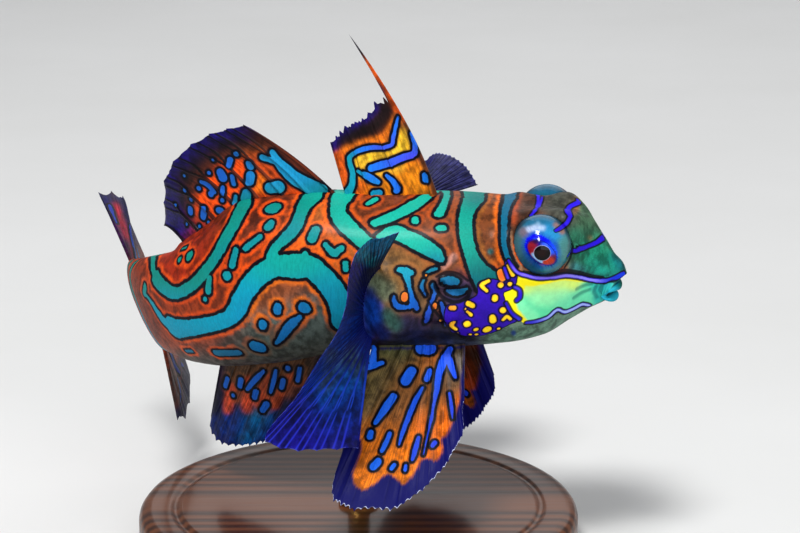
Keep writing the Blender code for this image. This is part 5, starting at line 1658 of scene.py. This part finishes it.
def build_eye(side, word):
    """An eyeball with its rings painted for the right side and carried over to the left."""
    _, tailward, up, right = spine_at(EYE_SHARE)
    gaze = unit(np.array(EYE_GAZE))
    first = unit(np.cross((0.0, 1.0, 0.0), gaze))
    second = np.cross(gaze, first)
    tilts = np.linspace(0, 1, EYE_ROWS)[1:-1] ** 1.1 * math.pi
    tilts = np.concatenate([[0.0], tilts, [math.pi]])
    turns = np.linspace(0, TURN, EYE_COLUMNS, endpoint=False)
    tilt, turn = (part[..., None] for part in np.meshgrid(tilts, turns, indexing="ij"))
    sideways = np.cos(turn) * first + np.sin(turn) * second
    local = np.cos(tilt) * gaze + np.sin(tilt) * sideways
    spread = local * (EYE_RADIUS + CORNEA[0] * np.exp(-((tilt / CORNEA[1]) ** 4)))
    ahead, above, beside = (spread[..., k : k + 1] for k in range(3))

    def placed(which):
        """The ball's points on the right (1) or the left (-1)."""
        middle = place(EYE_SHARE, EYE_HEIGHT, EYE_SIDE * which)
        return middle - ahead * tailward + above * up + beside * right * which

    points, pattern = placed(side).reshape(-1, 3), placed(1)
    middle = place(EYE_SHARE, EYE_HEIGHT, EYE_SIDE)
    towards = (pattern - middle) @ unit(VIEWPOINT - middle)
    faces = facing_out(points, [grid_faces(len(tilts), EYE_COLUMNS, closed=True)])
    piece = mesh_piece("eye_" + word, points, faces)
    seen = to_picture(pattern)
    for name, (centre, halves, degrees) in RINGS.items():
        across, down = tilted(*np.moveaxis(seen - centre, -1, 0), degrees)
        away = np.hypot(across / halves[0], down / halves[1])
        keep(piece, name, np.where(towards < 0, FAR_AWAY, away).ravel())
    flat = seen.reshape(-1, 2)
    turned = np.clip(-towards / EYE_RADIUS / 0.35, 0, 1).reshape(-1, 1)
    front = tinted(flat, (44, 120, 146), BALL_TONES)
    keep(piece, "ball_tone", front * (1 - turned) + linear(FAR_BALL) * turned)
    keep(piece, "iris_tone", tinted(flat, (26, 38, 200), IRIS_TONES))
    keep(piece, "inner_tone", tinted(flat, (18, 24, 120), INNER_TONES))
    drawn_on = Surface(pattern, closed=True)
    lines = [drawn_on.lay(mark) for mark in EYE_VIOLET]
    keep(piece, "violet", edge_distance(drawn_on.points, lines))
    x, y = (flat - IRIS[0]).T
    around = np.arctan2(y, x)
    keep(piece, "round_x", np.cos(around))
    keep(piece, "round_y", np.sin(around))
    map_flat(piece, np.stack([tilt.ravel() / math.pi, turn.ravel() / TURN], axis=1))
    return piece


def eye_material():
    """The eyeball: pale ball, blue iris with red sectors and dark pupil, under a clear coat."""
    paint = Paint("mandarinfish_eye")
    iris, pupil = paint.stored("iris"), paint.stored("pupil")
    ball = paint.shade(paint.stored_colour("ball_tone"), 0.8, 1.15, paint.noise(1.4, 4))
    ball = paint.shade(ball, 0.9, 1.1, paint.noise(6.0, 3))
    circling = [paint.scaled(paint.stored(name), 14.0) for name in ("round_x", "round_y")]
    fibres = paint.combined(*circling, paint.scaled(iris, 3.0))
    fibre = paint.noise(1.0, 2.0, 0.5, vector=fibres)
    ball = paint.shade(ball, 0.72, 1.28, fibre)
    violet = paint.stored("violet")
    ball = paint.cover(ball, violet, 0.16, 0.06, INK, 0.9)
    ball = paint.cover(ball, violet, 0.03, -0.03, shown((48, 24, 200)))
    blue = paint.shade(paint.stored_colour("iris_tone"), 0.6, 1.35, fibre)
    inner_tone = paint.shade(paint.stored_colour("inner_tone"), 0.5, 1.5, fibre)
    stray = paint.stray(fibre, 0.34)
    colour = paint.cover(ball, paint.add(iris, stray), 1.06, 0.92, blue)
    inner = paint.add(paint.stored("inner"), paint.scaled(stray, 0.5))
    ring = paint.maths("ABSOLUTE", paint.maths("SUBTRACT", inner, 1.03))
    colour = paint.cover(colour, inner, 1.05, 0.95, inner_tone)
    colour = paint.cover(colour, ring, 0.09, 0.02, shown((12, 12, 104)), 0.6)
    pale = paint.mix(fibre, shown((70, 90, 150)), shown((214, 220, 232)))
    colour = paint.cover(colour, pupil, 1.13, 1.08, pale, 0.6)
    dark = paint.cover(shown((26, 4, 4)), pupil, 0.25, 0.95, shown((2, 2, 3)))
    dark = paint.shade(dark, 0.9, 1.1, paint.noise(3.0, 2))
    colour = paint.cover(colour, pupil, 1.08, 0.98, dark)
    paint.bump([(paint.noise(3.0, 3), 0.12)], 0.02)
    rough = paint.rough(paint.noise(3.0, 3), 0.16, 0.06)
    return paint.finish(colour, rough, 0.36, 0.03, specular=0.05)


# The stand: rings of its turned parts, each a radius and a height
ROD_RADIUS = 1.1
ROD_BURIED = 0.15  # how far the rod goes into the belly
BASE_PROFILE = (
    (1.4, 2.0), (1.4, 4.9), (1.5, 5.0), (17.6, 5.0), (17.9, 4.96), (18.05, 4.8), (18.3, 4.74),
    (18.55, 4.8), (18.7, 4.96), (19.0, 5.0), (20.6, 5.0), (21.1, 4.93), (21.6, 4.7), (21.9, 4.3),
    (22.0, 3.9), (22.0, 1.9), (21.9, 1.75), (21.75, 1.6), (21.75, 1.4), (21.9, 1.25), (22.0, 1.1),
    (22.0, 0.6), (21.85, 0.25), (21.5, 0.05), (21.3, 0.0),
)
COLLAR_PROFILE = (
    (0.9, 2.3), (1.1, 2.5), (1.1, 5.04), (1.9, 5.04), (2.02, 5.12), (2.02, 5.6), (1.9, 5.76),
    (1.45, 5.86), (1.25, 6.0), (1.15, 6.3), (1.1, 6.8),
)


def circle(count):
    """Points round the upright axis at radius 1."""
    turns = np.linspace(0, TURN, count, endpoint=False)
    return np.stack([np.cos(turns), np.sin(turns), 0 * turns], axis=1)


def lathe(name, rings):
    """A turned solid from its rings, closed by the first and the last."""
    rings = np.array(rings)
    points = rings.reshape(-1, 3)
    piece = mesh_piece(name, points, facing_out(points, tube_faces(*rings.shape[:2])))
    piece.data.set_sharp_from_angle(angle=math.radians(40))
    return piece


def build_stand(skin_piece):
    """The turned base, and the rod up to the belly."""
    base = lathe("display_base", [circle(200) * r + UP * z for r, z in BASE_PROFILE])
    ring = circle(48)
    rings = [ring * r + UP * z for r, z in COLLAR_PROFILE]
    belly = BVHTree.FromObject(skin_piece, bpy.context.evaluated_depsgraph_get())
    tops = ring * ROD_RADIUS
    for spot in tops:
        spot[2] = belly.ray_cast(Vector(spot * MM), Vector(UP))[0].z / MM + ROD_BURIED
    rings.append(ring * ROD_RADIUS + UP * (tops[:, 2].min() - 0.4))
    return base, lathe("display_rod", [*rings, tops])


def wood_material():
    """Dark turned wood with straight grain."""
    paint = Paint("display_wood")
    grain = paint.node(
        "ShaderNodeTexWave",
        {
            "Vector": paint.at((0.02, 1, 1)),
            "Scale": 0.22,
            "Distortion": 6.0,
            "Detail": 4.0,
            "Detail Scale": 0.6,
        },
        wave_type="RINGS",
        rings_direction="X",
    ).outputs["Fac"]
    pores = paint.noise(2.4, 4, 0.6, (0.06, 1, 1))
    colour = paint.mix(grain, shown((58, 32, 20)), shown((104, 62, 38)))
    colour = paint.shade(colour, 0.7, 1.25, pores)
    paint.bump([(pores, 0.3), (grain, 0.1)], 0.05)
    return paint.finish(colour, paint.rough(pores, 0.30, 0.14, 0.8), 0.35, 0.15)


def brass_material():
    """Drawn brass with fine lines round the rod."""
    paint = Paint("display_brass")
    lines = paint.noise(3.0, 3, 0.6, (0.3, 0.3, 5))
    colour = paint.mix(paint.noise(0.35, 4), shown((206, 168, 96)), shown((176, 132, 66)))
    colour = paint.shade(colour, 0.92, 1.06, lines)
    paint.bump([(lines, 0.1)], 0.02)
    return paint.finish(colour, paint.rough(lines, 0.18, 0.16, 0.8), metallic=1.0)


# The studio: half the floor's width in millimetres, and each lamp's place and size in metres, with
# its power in watts
FLOOR_HALF = 6000.0
LAMPS = (
    ("key", (-0.10, -0.21, 0.45), 0.11, 2.0),
    ("fill", (0.32, -1.05, 0.42), 0.9, 6.0),
    ("back", (0.05, 0.36, 0.30), 0.36, 0.42),
)
LIT_SPOT = Vector((0.0, 0.0, 0.028))
SKY = (0.93, 0.95, 1.0, 1.0)
SKY_STRENGTH = 0.30
EXPOSURE = 0.17
GAMMA = 0.9


def put(name, data, spot, turned):
    """A lamp or a camera in the scene."""
    made = bpy.data.objects.new(name, data)
    made.location = spot
    made.rotation_euler = turned
    bpy.context.scene.collection.objects.link(made)
    return made


def build_studio():
    """The floor, the lights, the sky and the camera."""
    corners = np.array([(-1, -1, 0), (1, -1, 0), (1, 1, 0), (-1, 1, 0)], float) * FLOOR_HALF
    floor = mesh_piece("studio_floor", corners, [np.array([[0, 1, 2, 3]])], smooth=False)
    paint = Paint("studio_floor")
    tone = paint.mix(paint.noise(0.02, 3), shown((214, 214, 212)), shown((222, 222, 221)))
    paint.finish(tone, paint.rough(paint.noise(0.3, 2), 0.6, 0.05, 0.8))
    floor.data.materials.append(paint.material)
    scene = bpy.context.scene
    scene.world = bpy.data.worlds.new("studio_world")
    scene.world.use_nodes = True
    sky = scene.world.node_tree.nodes["Background"]
    sky.inputs["Color"].default_value = SKY
    sky.inputs["Strength"].default_value = SKY_STRENGTH
    for name, spot, size, power in LAMPS:
        data = bpy.data.lights.new(name, "AREA")
        data.size, data.energy = size, power
        put(name, data, spot, (LIT_SPOT - Vector(spot)).to_track_quat("-Z", "Y").to_euler())
    data = bpy.data.cameras.new("camera")
    data.lens, data.sensor_width = LENS, SENSOR
    data.clip_start, data.clip_end = 0.005, 20.0
    scene.camera = put("camera", data, VIEWPOINT * MM, (math.pi / 2 - ELEVATION, 0.0, 0.0))
    settings = scene.view_settings
    settings.view_transform = "Standard"
    settings.exposure, settings.gamma = EXPOSURE, GAMMA


def hand_over(piece, material, nodes):
    """Gives a piece its material, and its place in the frame."""
    piece.data.materials.append(material)
    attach(piece, "root")
    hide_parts(*nodes)


def add_fin(name, node, material, shape, look):
    """One fin, built, painted and handed over."""
    piece, sheet = build_fin(name, **shape)
    paint_fin(piece, sheet, **look)
    hand_over(piece, material, [node])


def build_fins():
    """All the fins, painted."""
    eight, ten, thirty = (np.linspace(0, 1, count) for count in (8, 10, 30))
    add_fin(
        "first_dorsal_fin", "dorsal_fin_first",
        fin_material("first_dorsal_paint", ray_share=0.35),
        dict(
            table=FIRST_DORSAL, rays=(0.0, 0.40, 0.72, 1.0), columns=60, rows=120, forked=False,
            teeth=3, ragged=0.05, lead=(0.48, 0.09), ray=(0.22, 0.07), billow=0.25, seed=11,
        ),
        dict(
            marks=FIRST_DORSAL_MARKS, zones=FIRST_DORSAL_DEEP, tones=BLUE_LINES,
            plain={"deep": (226, 110, 30), "near": (236, 110, 28), "tone": (24, 120, 214)},
        ),
    )
    add_fin(
        "second_dorsal_fin", "dorsal_fin_second",
        fin_material("second_dorsal_paint", rays=True, ray_share=0.9, solid=0.4),
        dict(
            table=SECOND_DORSAL, rays=eight, columns=24, rows=90, ragged=0.015, ray=(0.24, 0.16),
            billow=0.12, seed=12,
        ),
        dict(
            marks=SECOND_DORSAL_MARKS, zones=SECOND_DORSAL_DEEP, tones=SECOND_DORSAL_TONES,
            rays=SECOND_DORSAL_RAYS,
            plain={"deep": (196, 66, 22), "near": (236, 92, 24), "tone": (18, 110, 160),
                   "ray_tone": (40, 20, 16)},
        ),
    )
    add_fin(
        "anal_fin_sheet", "anal_fin",
        fin_material("anal_paint", turn=(0.25, 0.8)),
        dict(
            table=ANAL, rays=eight, columns=24, rows=90, teeth=2, ragged=0.015, ray=(0.15, 0.06),
            seed=13,
        ),
        dict(
            marks=ANAL_MARKS, zones=ANAL_DEEP,
            plain={"deep": (34, 40, 80), "near": (206, 90, 40), "tone": (24, 104, 206)},
        ),
    )
    add_fin(
        "caudal_fin_sheet", "caudal_fin", fin_material("caudal_paint"),
        dict(
            table=CAUDAL, rays=ten, columns=20, rows=70, notch=(0.05, 0.05), ragged=0.02,
            ray=(0.16, 0.07), on_end=True, seed=14,
        ),
        dict(
            marks=CAUDAL_MARKS, zones=CAUDAL_DEEP, tones=CAUDAL_TONES, hidden=CAUDAL_HIDDEN,
            plain={"deep": (84, 40, 36), "near": (150, 62, 40), "tone": (22, 104, 176)},
        ),
    )
    pectoral_paint = fin_material(
        "pectoral_paint", rays=True, ray_share=0.85, fringe=((84, 92, 176), 0.07), fine=(1.7, 9)
    )
    pelvic_paint = fin_material(
        "pelvic_paint", field=True, ray_share=0.5, fringe=((206, 212, 238), 0.09),
        turn=(0.22, 0.8), fine=(24, 4),
    )
    for side, word, pectoral, notch, pectoral_zones, pelvic, marks, pelvic_zones in (
        (1, "right", PECTORAL, (0.03, 0.012), PECTORAL_DEEP, PELVIC, PELVIC_MARKS, PELVIC_DEEP),
        (-1, "left", PECTORAL_LEFT, (0.006, 0.006), PECTORAL_LEFT_SHADED, PELVIC_LEFT,
         PELVIC_MARKS[:4] + PELVIC_MARKS[7:], PELVIC_LEFT_DEEP),
    ):
        add_fin(
            "pectoral_fin_sheet_" + word, "pectoral_fin_" + word,
            pectoral_paint,
            dict(
                table=pectoral, rays=thirty, columns=10, rows=80, side=side, twin_table=PECTORAL,
                notch=notch, ragged=0.006, ray=(0.17, 0.06), billow=0.05, seed=15,
            ),
            dict(
                marks=NO_MARKS, zones=pectoral_zones, rays=PECTORAL_RAYS,
                plain={"deep": (16, 30, 110), "near": (16, 30, 110), "tone": (20, 120, 210),
                       "ray_tone": (36, 46, 190)},
            ),
        )
        add_fin(
            "pelvic_fin_sheet_" + word, "pelvic_fin_" + word, pelvic_paint,
            dict(
                table=pelvic, rays=(0.0, 0.14, 0.28, 0.42, 0.56, 0.70, 0.82, 1.0), columns=24,
                rows=110, side=side, twin_table=PELVIC, notch=(0.018, 0.018), teeth=5,
                ragged=0.012, ray=(0.2, 0.07), billow=0.16, seed=16,
            ),
            dict(
                marks=marks, zones=pelvic_zones, tones=PELVIC_TONES, field=PELVIC_FIELD,
                plain={"deep": (196, 104, 30), "near": (246, 140, 30), "tone": (30, 100, 235)},
            ),
        )


def main():
    """The fish, its stand and the studio."""
    body = build_skin()
    hand_over(body, skin_material(), ["body_head", "body_trunk", "body_tail"])
    eyes = eye_material()
    for side, word in ((1, "right"), (-1, "left")):
        hand_over(build_eye(side, "ball_" + word), eyes, ["eye_" + word])
    build_fins()
    base, rod = build_stand(body)
    hand_over(base, wood_material(), ["stand_base"])
    hand_over(rod, brass_material(), ["stand_rod"])
    build_studio()


main()
